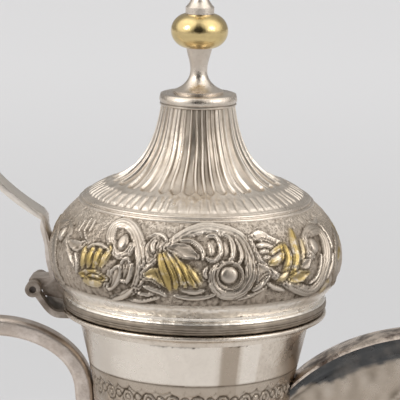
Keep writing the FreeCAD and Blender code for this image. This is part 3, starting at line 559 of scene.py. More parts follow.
def scroll_shape(kind, where, widths, x, y):
    """Height share of one scroll, leaf or boss and the distance outside its edge."""
    if kind == BOSS:
        size = np.hypot((x - where[0] * MM_PER_DEGREE) / widths[0], (y - where[1]) / widths[1])
        return np.sqrt(np.clip(1 - size ** 3.5, 0, 1)), (size - 1) * widths[0]
    if kind == RING:
        turn = math.radians(widths[3])
        dx = x - where[0] * MM_PER_DEGREE
        dy = y - where[1]
        across = (dx * math.cos(turn) + dy * math.sin(turn)) / widths[0]
        along = (dy * math.cos(turn) - dx * math.sin(turn)) / widths[1]
        size = np.hypot(across, along) + 1e-6
        gap = (size - 1) * np.hypot(dx, dy) / size
        ridge = np.sqrt(np.clip(1 - (gap / widths[2]) ** 2, 0, 1))
        return np.where(gap < 0, np.maximum(ridge, 0.62 - 0.45 * size), ridge), gap - widths[2]
    gap, share = nearest(x, y, smooth_path(where))
    if kind == RIDGE:
        half = widths[0] * (0.35 + 0.65 * np.clip(4 * share * (1 - share), 0, 1) ** 0.5)
        return np.sqrt(np.clip(1 - (gap / half) ** 2, 0, 1)), gap - half
    if kind == STEM:
        half = np.interp(share, np.linspace(0, 1, len(widths)), widths)
        t = np.clip(gap / half, 0, 1)
        band = np.sqrt(1 - t ** 3) * (0.80 - 0.20 * np.cos(4 * math.pi * t))
        return np.where(gap < half, band, 0), gap - half
    if kind == PETAL:
        half = widths[0] * (0.22 + 0.78 * np.clip(4 * (share + 0.06) * (1 - share), 0, 1) ** 0.6)
        t = np.clip(gap / half, 0, 1)
        edge = eased(0.5 + (half - gap) / 0.5)
        rib = 0.84 + 0.16 * np.cos(2 * math.pi * gap / 0.95)
        return edge * rib * (1 - 0.6 * t ** 1.4) * (0.65 + 0.35 * np.sin(math.pi * share)), gap - half
    halves = (widths[0] * 0.3, widths[0] * 0.85, widths[0], widths[1] * 0.4)
    half = np.interp(share, (0, 0.25, 0.6, 1), halves)
    t = gap / half
    cup = 0.30 + 0.70 * np.clip(t, 0, 1) ** 2.5
    rim = np.clip(1 - (gap - half) / 0.45, 0, 1)
    return np.where(t < 1, cup, rim * rim * (3 - 2 * rim)), gap - half - 0.3


# How much fuller each kind is chased than its traced half width.
FULLER = {STEM: 1.55, PETAL: 1.25, LOBE: 1.35, RIDGE: 1.40, RING: 1.08, BOSS: 1.0}


def chased(x, y):
    """Height share and gilding of the scrolls over a field, each edged by a chased line."""
    height = np.zeros(x.shape)
    gilt = np.zeros(x.shape)
    wide = REPEAT * MM_PER_DEGREE
    for kind, where, thin, rise, gold in SCROLLS:
        widths = tuple(FULLER[kind] * w for w in thin)
        around = np.array([where] if kind in (RING, BOSS) else where, float)
        reach = max(widths[:2]) + 2.6
        low = around.min(axis=0) * (MM_PER_DEGREE, 1) - reach
        high = around.max(axis=0) * (MM_PER_DEGREE, 1) + reach
        for turn in (-1, 0, 1):
            near = (x + turn * wide > low[0]) & (x + turn * wide < high[0]) & (y > low[1]) & (y < high[1])
            if not near.any():
                continue
            shape, outside = scroll_shape(kind, where, widths, x[near] + turn * wide, y[near])
            line = (0.62 if gold else 0.46) * bell(np.clip(outside, 0, None), 0.5)
            line = line + 0.22 * bell(outside - 1.5, 0.34)
            before = height[near]
            beside = np.maximum(before - line, shape * rise)
            height[near] = np.where(outside > 0, beside, np.maximum(before * 0.35, shape * rise))
            gilt[near] = np.where(outside < 0.1, gold, gilt[near])
    return height, gilt


def dome_stations():
    """The dome's outline from its foot to the seam: radius, height and heading in degrees."""
    lid = setting("lid")
    return [
        (lid.foot_r / MM, DOME_LOW[2], 40),
        (lid.bulge_r / MM, DOME_LOW[2] + lid.bulge_rise / MM, 90),
        (lid.seam_r / MM, DOME_HIGH[2], SEAM_HEADING),
    ]


def spire_stations():
    """The spire's outline from the seam over the shoulder to the crown."""
    lid = setting("lid")
    return [
        (lid.seam_r / MM, SPIRE_LOW[2], SEAM_HEADING),
        (lid.shoulder_r / MM, SPIRE_LOW[2] + lid.shoulder_rise / MM, 155),
        (lid.crown_r / MM, SPIRE_HIGH[2], 97),
    ]


def neck_stations():
    """The neck's outline from the waist to the lip."""
    pot = setting("pot")
    return [(pot.waist_r / MM, NECK_LOW[2], 90), (pot.mouth_r / MM, NECK_HIGH[2], 74)]


def belly_stations():
    """The belly's outline from its foot over the widest line to the waist."""
    pot = setting("pot")
    return [
        (pot.belly_foot_r / MM, BELLY_LOW[2], 68),
        (pot.belly_r / MM, pot.belly_rise / MM, 90),
        (pot.waist_r / MM, BELLY_HIGH[2], 90),
    ]


def from_front(turn):
    """Degrees from the middle of the frieze, from -180 to 180."""
    return (turn - FRIEZE_START + 180) % 360 - 180


def along_repeat(off):
    """Millimetres from the middle of the frieze's own repeat."""
    return ((off + REPEAT / 2) % REPEAT - REPEAT / 2) * MM_PER_DEGREE


def ridge_phase(turn, count, jitter, seed):
    """Place between two neighbouring hand-spaced ridges, from 0 to 1, and the flute's number."""
    chance = np.random.default_rng(seed)
    ridges = (np.arange(count) + chance.uniform(-jitter, jitter, count)) * 360 / count
    ridges = np.sort(ridges % 360)
    ridges = np.concatenate([[ridges[-1] - 360], ridges, [ridges[0] + 360]])
    number = np.searchsorted(ridges, turn, side="right") - 1
    return (turn - ridges[number]) / (ridges[number + 1] - ridges[number]), number


def finish_piece(piece, body, node, material):
    """Gives a piece its body, the node that it stands for and its finish."""
    piece.data.materials.clear()
    piece.data.materials.append(material)
    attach(piece, body)
    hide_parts(node)


DOME_ROWS = 96
DOME_COLUMNS = 960
FRIEZE_FOOT_RISE = 15.5
PANEL_FOOT = -4.2
# Heights where the sunk and the dulled ground end, and the stretches below over which they fade.
SUNK_TOP = 25.0
SUNK_FADE = 13.0
DULLED_TOP = 27.0
DULLED_FADE = 6.0
SEAM_LEAN = 135
SEAM_HALF = 1.7
SEAM_ROWS = 29
SEAM_COLUMNS = 360
FILLETS = (-0.85, 0.85)
FILLET_R = 0.62
RING_BORE = 46.0
RING_ROWS = 45
RING_COLUMNS = 480
# Lines cut into the base ring: place as a share of its height, and depth in millimetres.
RING_CUTS = ((0.20, 0.30), (0.34, 0.24), (0.60, 0.55))


class DALLAH_OT_lid_dome(bpy.types.Operator):
    """The bulged dome with its chased and part-gilt scroll frieze"""
    bl_idname = "dallah.lid_dome"
    bl_label = "Chased dome"

    def execute(self, context):
        relief = setting("lid").relief / MM
        place, out, at = outline(dome_stations(), DOME_ROWS)
        piece, points, row, column = wall(place, out, DOME_COLUMNS, "chased_dome", sink=0.9)
        turn = turns(DOME_COLUMNS)
        up = (at - run_at_height(place, at, RIM_Z + FRIEZE_FOOT_RISE))[:, None]
        off = from_front(turn)
        x = along_repeat(off) + 0 * up
        y = up + 0 * turn
        sway = ripple(off * 0.9, y, 3, 40.0)
        shape, gilt = chased(x, y)
        inside = eased((y - PANEL_FOOT) / 1.2)
        sunk = inside * eased((SUNK_TOP - y) / SUNK_FADE)
        ground = open_ground(shape) * inside
        chance = np.random.default_rng(11)
        punches = punched(chance, x.shape) * 0.62 * ground
        rise = eased((FRIEZE_HEIGHT + 1.0 - y) / 1.5) * shape
        lift = relief * (inside * rise * (1 + 0.08 * sway) * (0.6 + 0.4 * sunk) - 0.35 * sunk) + punches
        lift = lift - 0.12 * bell(y - PANEL_FOOT + 0.4, 0.7)
        pits = blurred(chance.uniform(0, 1, x.shape) ** 12, 1) * eased((PANEL_FOOT - y) / 1.0)
        lift = lift + 0.12 * ripple(off * 0.9, y, 5, 17.0) * (1 - sunk) - 1.2 * pits
        emboss(piece, points, row, column, place, out, lift)
        band = eased((PANEL_FOOT - y) / 0.8)
        paint_rows(piece, row, column, {
            "gilt": blurred(gilt * inside, 1),
            # Dirt in the fine lines of the relief, and painted shade in its broad hollows.
            "soil_and_shade": dirt_and_shade(lift),
            # The raised tops of the relief are painted lighter, partly from real rubbing and partly as
            # painted highlight. The plain band under the frieze is painted bright, standing in for the light
            # it reflects.
            "rubbed_and_highlit": np.clip(0.4 * hollows(-lift, 4, 0.7) + 1.5 * band, 0, 1.6),
            "matted": ground,
            "dulled_and_shaded": inside * eased((DULLED_TOP - y) / DULLED_FADE) * (1 - gilt),
        })
        finish_piece(piece, "lid", "lid_dome", chased_silver())
        self.seam()
        self.base_ring()
        return {"FINISHED"}

    def seam(self):
        """Two fine fillets over the seam between the dome and the spire."""
        lid = setting("lid")
        u = np.linspace(-SEAM_HALF, SEAM_HALF, SEAM_ROWS)
        humps = (np.clip(1 - ((u - side) / FILLET_R) ** 2, 0, 1) for side in FILLETS)
        rise = 0.05 + sum(0.5 * np.sqrt(hump) for hump in humps)
        rise[0] = -0.6
        rise[-1] = -0.6
        lean = math.radians(SEAM_LEAN)
        profile = np.stack([
            lid.seam_r / MM + u * math.cos(lean) + rise * math.sin(lean),
            DOME_HIGH[2] + u * math.sin(lean) - rise * math.cos(lean),
        ], axis=1)
        piece = lathe("seam_fillets", profile, SEAM_COLUMNS)
        points = points_of(piece)
        turn = turn_of(points)
        wobble = 0.22 * ripple(turn * 0.75, 0 * turn, 14, 22.0)
        points[:, 2] += wobble * math.sin(lean)
        put_points(piece, points)
        finish_piece(piece, "lid", "seam_ring", chased_silver())

    def base_ring(self):
        """The low moulding under the dome, cut with fine lines."""
        low, high = cad_mm("lid_base_ring")
        foot_r = setting("lid").foot_r / MM
        run = np.linspace(0, 1, RING_ROWS)
        swell = np.sin(math.pi * np.clip(run / 0.80, 0, 1)) ** 0.5
        radius = foot_r - 0.5 + (high[0] - foot_r + 0.5) * swell + 0.35 * eased((run - 0.82) / 0.18)
        cuts = sum(deep * bell(run - at, 0.022) for at, deep in RING_CUTS)
        profile = np.stack([radius - cuts, low[2] + run * (high[2] - low[2])], axis=1)
        profile = np.vstack([[[RING_BORE, low[2]]], profile, [[RING_BORE, high[2]]]])
        piece = lathe("lined_ring", profile, RING_COLUMNS)
        points = points_of(piece)
        around = radius_of(points)
        turn = turn_of(points)
        outer = around > RING_BORE + 1
        nicks = 0.16 * ripple(turn * 0.9, points[:, 2], 15, 11.0) * outer
        shrink = 1 - np.abs(nicks) / around
        share = (points[:, 2] - low[2]) / (high[2] - low[2])
        soil = sum(bell(share - at, 0.030) for at, _ in RING_CUTS)
        # The ring is painted darker and duller below two thirds of its height and brighter above, with dirt
        # in its cut lines.
        lower = eased((0.66 - share) / 0.12)
        points[:, :2] *= shrink[:, None]
        put_points(piece, points)
        paint(piece, "soil_and_shade", np.clip(0.55 * lower + 0.5 * soil, 0, 1) * outer)
        paint(piece, "dulled_and_shaded", lower)
        paint(piece, "rubbed_and_highlit", 1.5 * (1 - lower))
        finish_piece(piece, "lid", "lid_base_ring", plain_silver())


SPIRE_ROWS = 96
SPIRE_COLUMNS = 960
GADROON_FOOT = 3.2
GADROON_TOP = 12.2
FLUTE_FOOT = 13.0
CROWN_SKIRT = 2.4
CROWN_BORE = 3.0
CROWN_COLUMNS = 240
# Half width and foot of the painted dark reflection on the spire's front and back.
DARK_REFLECTION_HALF = 38.0
DARK_REFLECTION_FOOT = 17.0
# Ridges between the flutes on one half of the spire: degrees from the front and strength.
RIDGES = (
    (-83.0, 1.0), (-70.0, 0.9), (-57.0, 1.0), (-50.5, 0.45), (-43.5, 1.0), (-35.0, 0.4), (-28.0, 1.0),
    (-19.5, 0.6), (-10.0, 1.0), (-0.5, 0.8), (6.2, 1.0), (13.2, 0.9), (21.8, 0.6), (28.6, 1.0),
    (35.0, 0.4), (42.0, 1.0), (56.0, 1.0), (62.0, 0.5), (69.0, 0.9), (83.0, 1.0),
)


class DALLAH_OT_lid_spire(bpy.types.Operator):
    """The concave spire with a row of short gadroons under long hand-cut flutes"""
    bl_idname = "dallah.lid_spire"
    bl_label = "Fluted spire"

    def execute(self, context):
        lid = setting("lid")
        depth = lid.flute_depth / MM
        place, out, at = outline(spire_stations(), SPIRE_ROWS)
        piece, points, row, column = wall(place, out, SPIRE_COLUMNS, "fluted_spire", sink=0.7)
        turn = turns(SPIRE_COLUMNS)
        up = at[:, None] + 0 * turn
        radius = place[:, 0][:, None]
        lift = self.flutes(turn, up, radius, depth) + self.gadroons(turn, up, radius, lid.gadroons)
        chance = np.random.default_rng(22)
        worn = 0.07 * ripple(turn * 0.5, up, 24, 9.0)
        stipple = punched(chance, lift.shape) * 0.20 * eased((FLUTE_FOOT + 0.8 - up) / 1.0)
        lift = lift + worn + stipple
        emboss(piece, points, row, column, place, out, lift)
        # Painted dark reflection: the upper spire facing the front, and the back likewise, is painted duller
        # with more dirt in its flutes, standing in for the reflected dark camera side.
        aside = np.abs((turn - FRIEZE_START + 90) % 180 - 90)
        front = eased((DARK_REFLECTION_HALF - aside) / 18.0) * eased((up - DARK_REFLECTION_FOOT) / 8.0)
        soil = dirt_and_shade(lift) * eased((up - 2.0) / 3.0) * (0.36 + 0.95 * front)
        paint_rows(piece, row, column, {
            "soil_and_shade": np.clip(soil, 0, 1),
            "dulled_and_shaded": 0.85 * front,
            "rubbed_and_highlit": hollows(-lift, 4, 0.5),
        })
        finish_piece(piece, "lid", "lid_spire", chased_silver())
        self.crown()
        return {"FINISHED"}

    def crown(self):
        """The rounded band that closes the spire under the finial."""
        low, high = cad_mm("crown_collar")
        edge = setting("lid").crown_r / MM
        skirt = low[2] - CROWN_SKIRT
        profile = np.array([
            (CROWN_BORE, low[2]), (edge - 0.9, low[2]), (edge + 0.15, skirt), (edge + 0.55, skirt + 0.1),
            (edge + 0.75, skirt + 0.5), (edge + 0.55, skirt + 0.9), (edge + 0.5, skirt + 1.1),
            (edge + 0.8, skirt + 1.5), (edge + 0.95, skirt + 2.2), (edge + 0.85, skirt + 2.9),
            (edge + 0.5, high[2] - 0.25), (edge - 0.2, high[2]), (CROWN_BORE, high[2]),
        ])
        piece = lathe("crown_band", profile, CROWN_COLUMNS)
        points = points_of(piece)
        groove = bell(points[:, 2] - skirt - 1.0, 0.25)
        paint(piece, "soil_and_shade", groove * (radius_of(points) > edge))
        finish_piece(piece, "lid", "crown_collar", plain_silver())

    def flutes(self, turn, up, radius, depth):
        """Wide hand-cut channels with narrow steep ridges between them and rounded feet."""
        half_turn = (turn - FRIEZE_START + 90 + 1.1 * ripple(turn * 0.8, up, 25, 26.0)) % 180 - 90
        ridge = np.zeros(up.shape)
        nearest_ridge = np.full(up.shape, 99.0)
        for place, strength in RIDGES:
            aside = np.abs((half_turn - place + 90) % 180 - 90)
            across = np.radians(aside) * radius
            thick = np.clip(radius * 0.020, 0.30, 0.55)
            ridge = np.maximum(ridge, strength * eased((1.7 * thick - across) / (1.3 * thick)))
            if strength > 0.55:
                nearest_ridge = np.minimum(nearest_ridge, across)
        foot = FLUTE_FOOT + 2.2 * bell(nearest_ridge, 1.3) + 0.5 * ripple(turn, 0 * up, 27, 18.0)
        return -depth * np.clip(radius / 22, 0.62, 1) * (1 - ridge) * eased((up - foot) / 1.5)

    def gadroons(self, turn, up, radius, count):
        """Short round-ended fingers, worn away in places."""
        chance = np.random.default_rng(23)
        lobe, which = ridge_phase((turn + 0.5 * ripple(turn, up, 26, 14.0)) % 360, count, 0.2, 28)
        top = GADROON_TOP - 1.4 * chance.uniform(0, 1, count + 2)[which] - 6.0 * (lobe - 0.5) ** 2
        long = eased((up - GADROON_FOOT) / 0.8) * eased((top - up) / 1.2)
        beside = np.minimum(lobe, 1 - lobe) * radius * math.radians(360 / count)
        wear = 0.35 + 0.65 * eased(0.5 + 0.9 * np.sin(np.radians(turn * 2 + 215)))
        finger = 0.30 * np.sin(math.pi * lobe) ** 0.6 - 0.75 * bell(beside, 0.5)
        groove = 0.25 * bell(up - GADROON_FOOT + 0.2, 0.4)
        return wear * long * finger - groove


NECK_ROWS = 128
NECK_COLUMNS = 720
SCALLOPS = 44
STRAINER_ROWS = (4, 3, 2, 1)
STRAINER_R = 0.9
STRAINER_PITCH = 2.7
STRAINER_ROW_PITCH = 4.0
STRAINER_DROP = 37.0
CUTTER_SIDES = 20
CUTTER_LENGTH = 30
CUTTER_X = 40
LOWER_BORDER_RISE = 6.0
BORDER_HEIGHT = 11.0
CRACK_DROP = 3.2
MEDALLIONS = 26
MEDALLION_DROP = 6.9
MEDALLION_RINGS = (1.2, 2.7)
CURL_R = 1.5
CURL_RISE = 0.6
# Stretches round the neck: middle, half width and fade in degrees from the front.
CRACKS = ((-9.0, 13.0, 3.0), (22.0, 6.0, 2.0))
# The bright panels and the dark bands are painted reflections of the studio on the polished neck.
BRIGHT_REFLECTIONS = ((-30.0, 46.0, 6.0), (30.0, 6.0, 2.0))
DARK_REFLECTIONS = ((18.5, 5.5, 1.5),)


class DALLAH_OT_neck(bpy.types.Operator):
    """The waisted neck with engraved borders and the strainer holes behind the spout"""
    bl_idname = "dallah.neck"
    bl_label = "Engraved neck"

    def execute(self, context):
        pot = setting("pot")
        cut = pot.engraving / MM
        place, out, _ = outline(neck_stations(), NECK_ROWS)
        piece, points, row, column = wall(place, out, NECK_COLUMNS, "engraved_neck")
        turn = turns(NECK_COLUMNS)
        height = place[:, 1][:, None] + 0 * turn
        line = RIM_Z - pot.line_drop / MM
        lift = 0.10 * ripple(turn * 0.7, height, 31, 16.0) - 0.12
        swing = np.abs(np.sin(np.radians(turn) * SCALLOPS / 2)) ** 0.6
        chance = np.random.default_rng(33)
        for foot, way in ((line, -1), (place[0, 1] + LOWER_BORDER_RISE, 1)):
            waver = 0.15 * ripple(turn, 0 * height, 34, 14.0)
            lift = lift - 0.8 * cut * bell(height - foot - waver, 0.30)
            arch = foot + way * (2.2 + 2.0 * swing + 0.3 * ripple(turn * 0.7, 0 * height, 35, 9.0))
            worn = 0.35 + 0.65 * eased(0.5 + 0.8 * ripple(turn * 0.7, 0 * height, 37, 19.0))
            lift = lift - 1.7 * cut * worn * bell(height - arch, 0.42)
            up = height - foot - way * MEDALLION_DROP
            lift = lift - 1.8 * cut * self.medallions(turn, up, place[:, 0][:, None])
            border = eased((arch - height) * -way / 0.6)
            border = border * eased((BORDER_HEIGHT - (height - foot) * way) / 1.5)
            lift = lift - border * cut * 2.2 * blurred(chance.uniform(0, 1, lift.shape) ** 2, 1)
        aside = from_front(turn) + 0 * height
        flaw = place[-1, 1] - CRACK_DROP - 0.45 * ripple(turn * 2.2, 0 * height, 36, 7.0)
        crack = spells(aside, CRACKS) * bell(height - flaw, 0.40)
        lift = lift - 0.4 * crack
        # Painted reflections: above the engraved line the neck is painted bright in panels, and dark at its
        # sides and in one narrow band. Below the line it is painted duller.
        above = eased((height - line) / 1.0)
        panel = above * spells(aside, BRIGHT_REFLECTIONS)
        dark_reflection_sides = eased((np.abs(aside - 8) - 50.0) / 9.0)
        dullness_and_reflections = 1 - above + dark_reflection_sides + spells(aside, DARK_REFLECTIONS) * 1.3
        emboss(piece, points, row, column, place, out, lift)
        soil = hollows(lift, 3, 0.3) + 1.4 * crack
        paint_rows(piece, row, column, {
            "soil_and_shade": np.clip(soil, 0, 1),
            "rubbed_and_highlit": np.clip(panel, 0, 1),
            "dulled_and_shaded": np.clip(dullness_and_reflections, 0, 1.3),
        })
        self.pierce(piece)
        finish_piece(piece, "pot", "neck", plain_silver())
        return {"FINISHED"}

    def medallions(self, turn, up, radius):
        """A row of engraved double rings with a short curl between each two."""
        across = ((turn * MEDALLIONS / 360) % 1 - 0.5) * 2 * math.pi * radius / MEDALLIONS
        size = np.hypot(across, up)
        beside = np.hypot(np.abs(across) - math.pi * radius / MEDALLIONS, up - CURL_RISE)
        return sum(bell(size - ring, 0.32) for ring in MEDALLION_RINGS) + bell(beside - CURL_R, 0.32)

    def pierce(self, piece):
        """Drills the strainer holes with round cutters."""
        cutters = []
        for level, count in enumerate(STRAINER_ROWS):
            for spot in range(count):
                y = (spot - (count - 1) / 2) * STRAINER_PITCH
                z = RIM_Z - STRAINER_DROP - level * STRAINER_ROW_PITCH
                bpy.ops.object.select_all(action="DESELECT")
                bpy.ops.mesh.primitive_cylinder_add(
                    vertices=CUTTER_SIDES, radius=STRAINER_R * MM, depth=CUTTER_LENGTH * MM,
                    location=(CUTTER_X * MM, y * MM, z * MM), rotation=(0, math.pi / 2, 0))
                cutters.append(bpy.context.active_object)
        select_only(cutters)
        bpy.ops.object.join()
        bit = bpy.context.active_object
        select_only([piece])
        drill = piece.modifiers.new("Strainer", "BOOLEAN")
        drill.operation = "DIFFERENCE"
        drill.solver = "EXACT"
        drill.object = bit
        bpy.ops.object.modifier_apply(modifier=drill.name)
        bpy.data.objects.remove(bit)


BELLY_ROWS = 92
BELLY_COLUMNS = 900
BELLY_SCALE = 1.25
BELLY_GADROONS = 84
BELLY_FLUTES = 28
BELLY_FRIEZE_RUN = 20.5
BELLY_FLUTE_RUN = (63.0, 110.0)
BELLY_FLUTE_DEPTH = 0.95
BELLY_GADROON_MIDDLE = -12.3
BELLY_GADROON_DEPTH = 0.8
BELLY_RELIEF = 0.9


class DALLAH_OT_belly(bpy.types.Operator):
    """The belly, with gadroons at the foot, the lid's scrolls round it and long flutes up to the waist"""
    bl_idname = "dallah.belly"
    bl_label = "Chased belly"

    def execute(self, context):
        relief = setting("lid").relief / MM * BELLY_RELIEF
        place, out, at = outline(belly_stations(), BELLY_ROWS)
        piece, points, row, column = wall(place, out, BELLY_COLUMNS, "chased_belly", sink=0.9)
        turn = turns(BELLY_COLUMNS)
        up = (at - BELLY_FRIEZE_RUN)[:, None] + 0 * turn
        off = from_front(turn)
        x = along_repeat(off) + 0 * up
        y = up / BELLY_SCALE
        shape, gilt = chased(x, y)
        panel = eased((y - PANEL_FOOT) / 0.9) * eased((FRIEZE_HEIGHT + 1.1 - y) / 0.9)
        ground = open_ground(shape) * panel
        chance = np.random.default_rng(42)
        lift = relief * panel * (shape - 1) + punched(chance, x.shape) * 0.2 * ground
        lobe, _ = ridge_phase(turn, BELLY_GADROONS, 0.10, 43)
        beside = up - BELLY_GADROON_MIDDLE
        long = np.clip(1 - (beside / 5.0) ** 4, 0, 1)
        egg = np.clip(np.sin(math.pi * lobe), 0, 1) ** 0.7 * long ** 0.5
        lift = lift + np.where(np.abs(beside) < 5.6, -BELLY_GADROON_DEPTH * (1 - egg), 0)
        phase, _ = ridge_phase(turn, BELLY_FLUTES, 0.04, 44)
        first, last = (end - BELLY_FRIEZE_RUN for end in BELLY_FLUTE_RUN)
        half = place[:, 0][:, None] * math.radians(360 / BELLY_FLUTES) / 2
        low_end = np.sqrt(1 - (1 - np.clip((up - first) / half, 0, 1)) ** 2)
        high_end = np.sqrt(1 - (1 - np.clip((last - up) / half, 0, 1)) ** 2)
        lift = lift - BELLY_FLUTE_DEPTH * np.sin(math.pi * phase) ** 0.75 * low_end * high_end
        for line in (PANEL_FOOT * BELLY_SCALE - 0.8, (FRIEZE_HEIGHT + 1.8) * BELLY_SCALE):
            lift = lift - 0.4 * bell(up - line, 0.5)
        lift = lift - 0.05 + 0.05 * ripple(turn * 1.2, up, 45, 15.0)
        lift = np.minimum(lift, 0)
        emboss(piece, points, row, column, place, out, lift)
        paint_rows(piece, row, column, {
            "gilt": blurred(gilt * panel, 1),
            "soil_and_shade": dirt_and_shade(lift),
            "rubbed_and_highlit": hollows(-lift, 3, 0.7),
            "matted": ground,
        })
        finish_piece(piece, "pot", "belly", chased_silver())
        return {"FINISHED"}


MERGE_GAP = 0.004
FLAT_ANGLE = math.radians(0.6)
EDGE_ANGLE = math.radians(34)
SMOOTH_ANGLE = math.radians(40)


def eased_copy(node, name, width):
    """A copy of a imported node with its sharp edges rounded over."""
    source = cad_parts[node]
    piece = source.copy()
    piece.data = source.data.copy()
    for key in list(piece.keys()):
        del piece[key]
    piece.parent = None
    give_name(piece, name)
    bpy.context.scene.collection.objects.link(piece)
    select_only([piece])
    bpy.ops.object.mode_set(mode="EDIT")
    bpy.ops.mesh.select_all(action="SELECT")
    bpy.ops.mesh.customdata_custom_splitnormals_clear()
    bpy.ops.mesh.remove_doubles(threshold=MM * MERGE_GAP)
    bpy.ops.mesh.dissolve_limited(angle_limit=FLAT_ANGLE)
    bpy.ops.object.mode_set(mode="OBJECT")
    ease = piece.modifiers.new("Eased edges", "BEVEL")
    ease.width = width
    ease.segments = 3
    ease.limit_method = "ANGLE"
    ease.angle_limit = EDGE_ANGLE
    bpy.ops.object.modifier_apply(modifier=ease.name)
    bpy.ops.object.shade_smooth_by_angle(angle=SMOOTH_ANGLE)
    return piece


# The lever as the photograph shows it. From LEVER_FREE above the rim it lies lower and further back,
# in full after LEVER_SETTLE more.
LEVER_FREE = 20.0
LEVER_SETTLE = 14.0
LEVER_DROP = 3.3
LEVER_BACK = 0.8
# Heights above the rim on the hinge block, before and after it is lowered.
BLOCK_BEFORE = (6.5, 13.1, 20.0)
BLOCK_AFTER = (6.5, 10.0, 20.0)
BLOCK_UNDER = RIM_Z + 5.4
BLOCK_UNDER_DROP = 2.4
BLOCK_FRONT = -58.6
ELBOW = (-58.0, RIM_Z + 33.4)
ELBOW_HEIGHT = 9.0
HINGE_DARKENING = 0.75
ARM_THIN = 0.58
ARM_STATIONS = ((-56.45, RIM_Z + 36.3, 150), (-73.05, RIM_Z + 47.8, 139), (-95.55, RIM_Z + 69.3, 160))


class DALLAH_OT_hinge(bpy.types.Operator):
    """The hinge bracket, the thumb lever and the handle with their worn edges"""
    bl_idname = "dallah.hinge"
    bl_label = "Hinge, thumb lever and handle"

    def execute(self, context):
        metal = forged_silver()
        bracket = eased_copy("hinge_bracket", "eased_bracket", width=0.4 * MM)
        # The whole bracket is painted darker.
        paint(bracket, "soil_and_shade", np.full(len(bracket.data.vertices), HINGE_DARKENING))
        finish_piece(bracket, "pot", "hinge_bracket", metal)
        lever = eased_copy("thumb_lever", "eased_lever", width=0.7 * MM)
        points = points_of(lever)
        above = points[:, 2] - RIM_Z
        block = np.interp(above, BLOCK_BEFORE, BLOCK_AFTER)
        points[:, 2] += np.where((above > BLOCK_BEFORE[0]) & (above < BLOCK_BEFORE[-1]), block - above, 0)
        self.thin_arm(points)
        settle = eased((above - LEVER_FREE) / LEVER_SETTLE)
        points[:, 0] -= LEVER_BACK * settle
        points[:, 2] -= LEVER_DROP * settle
        self.fill_block(points)
        self.round_elbow(points)
        put_points(lever, points)
        # The lever is painted darker towards its foot at the hinge.
        paint(lever, "soil_and_shade", HINGE_DARKENING * eased((LEVER_FREE - 5.0 - above) / 4.0))
        paint(lever, "rubbed_and_highlit", 1.2 * eased((above - LEVER_FREE - 4.0) / 8.0))
        finish_piece(lever, "lid", "thumb_lever", metal)
        handle = eased_copy("handle", "eased_handle", width=1.3 * MM)
        finish_piece(handle, "pot", "handle", metal)
        return {"FINISHED"}

    def fill_block(self, points):
        """Lowers the underside of the lid's hinge block towards the bracket."""
        low = (points[:, 2] < BLOCK_UNDER) & (points[:, 0] > BLOCK_FRONT)
        points[:, 2] -= np.where(low, BLOCK_UNDER_DROP * eased((points[:, 0] - BLOCK_FRONT) / 2.5), 0)

    def round_elbow(self, points):
        """Draws in the sharp corner where the strap meets the arm."""
        x, z = ELBOW
        corner = (points[:, 0] > x) & (points[:, 2] > z) & (points[:, 2] < z + ELBOW_HEIGHT)
        points[:, 0] -= np.where(corner, 0.85 * (points[:, 0] - x), 0)
        points[:, 2] -= np.where(corner, 0.30 * (points[:, 2] - z), 0)

    def thin_arm(self, points):
        """Draws the lever's arm out thinner towards its middle line."""
        line = np.vstack([bezier(a, b, 40) for a, b in zip(ARM_STATIONS, ARM_STATIONS[1:])])
        arm = (points[:, 2] > ARM_STATIONS[0][1] - 3.0) & (points[:, 0] > line[-1, 0] + 2.0)
        for k in np.flatnonzero(arm):
            near = line[np.hypot(line[:, 0] - points[k, 0], line[:, 1] - points[k, 2]).argmin()]
            points[k, 0] = near[0] + ARM_THIN * (points[k, 0] - near[0])
            points[k, 2] = near[1] + ARM_THIN * (points[k, 2] - near[1])


SPOUT_TIP_X = 138.0
SPOUT_ROOT_X = 37.2
SPOUT_APEX = (95.0, RIM_Z - 7.0, 0)
SPOUT_ROOT_TOP = (SPOUT_ROOT_X, RIM_Z - 30.0, 45)
SPOUT_ROOT_KEEL = (SPOUT_ROOT_X, RIM_Z - 64.0, 5)
SPOUT_TIP_TOP = (SPOUT_TIP_X, RIM_Z - 27.0, -45)
SPOUT_TIP_KEEL = (SPOUT_TIP_X, RIM_Z - 30.4, 28)
SPOUT_HALF_W = 7.6
SPOUT_TIP_HALF_W = 1.7
SPOUT_TAPER = 1.1
SPOUT_SIDE_FULLNESS = 0.78
SPOUT_SIDE_HEIGHT = 0.42
CHEEK_STEPS = 130
CHEEK_ROWS = 44
CHEEK_BORDER = 5.0
KEEL_BORDER = 3.0
VINE_START = 50
VINE_PACE = 9.0
LEAF_PACE = 2.6
# Depth of the painted shadow under the lip at places along the spout: a dark blue-grey that stands in for the
# shade of the overhanging cover.
LIP_PLACES = (43.0, 54.0, 75.0, 110.0)
LIP_DEPTHS = (4.5, 10.0, 10.0, 6.0)


def spout_lines():
    """The spout's top edge and keel seen from the side, as rows of points."""
    top = np.vstack([bezier(SPOUT_ROOT_TOP, SPOUT_APEX, 300), bezier(SPOUT_APEX, SPOUT_TIP_TOP, 300)])
    return top, bezier(SPOUT_ROOT_KEEL, SPOUT_TIP_KEEL, 300)


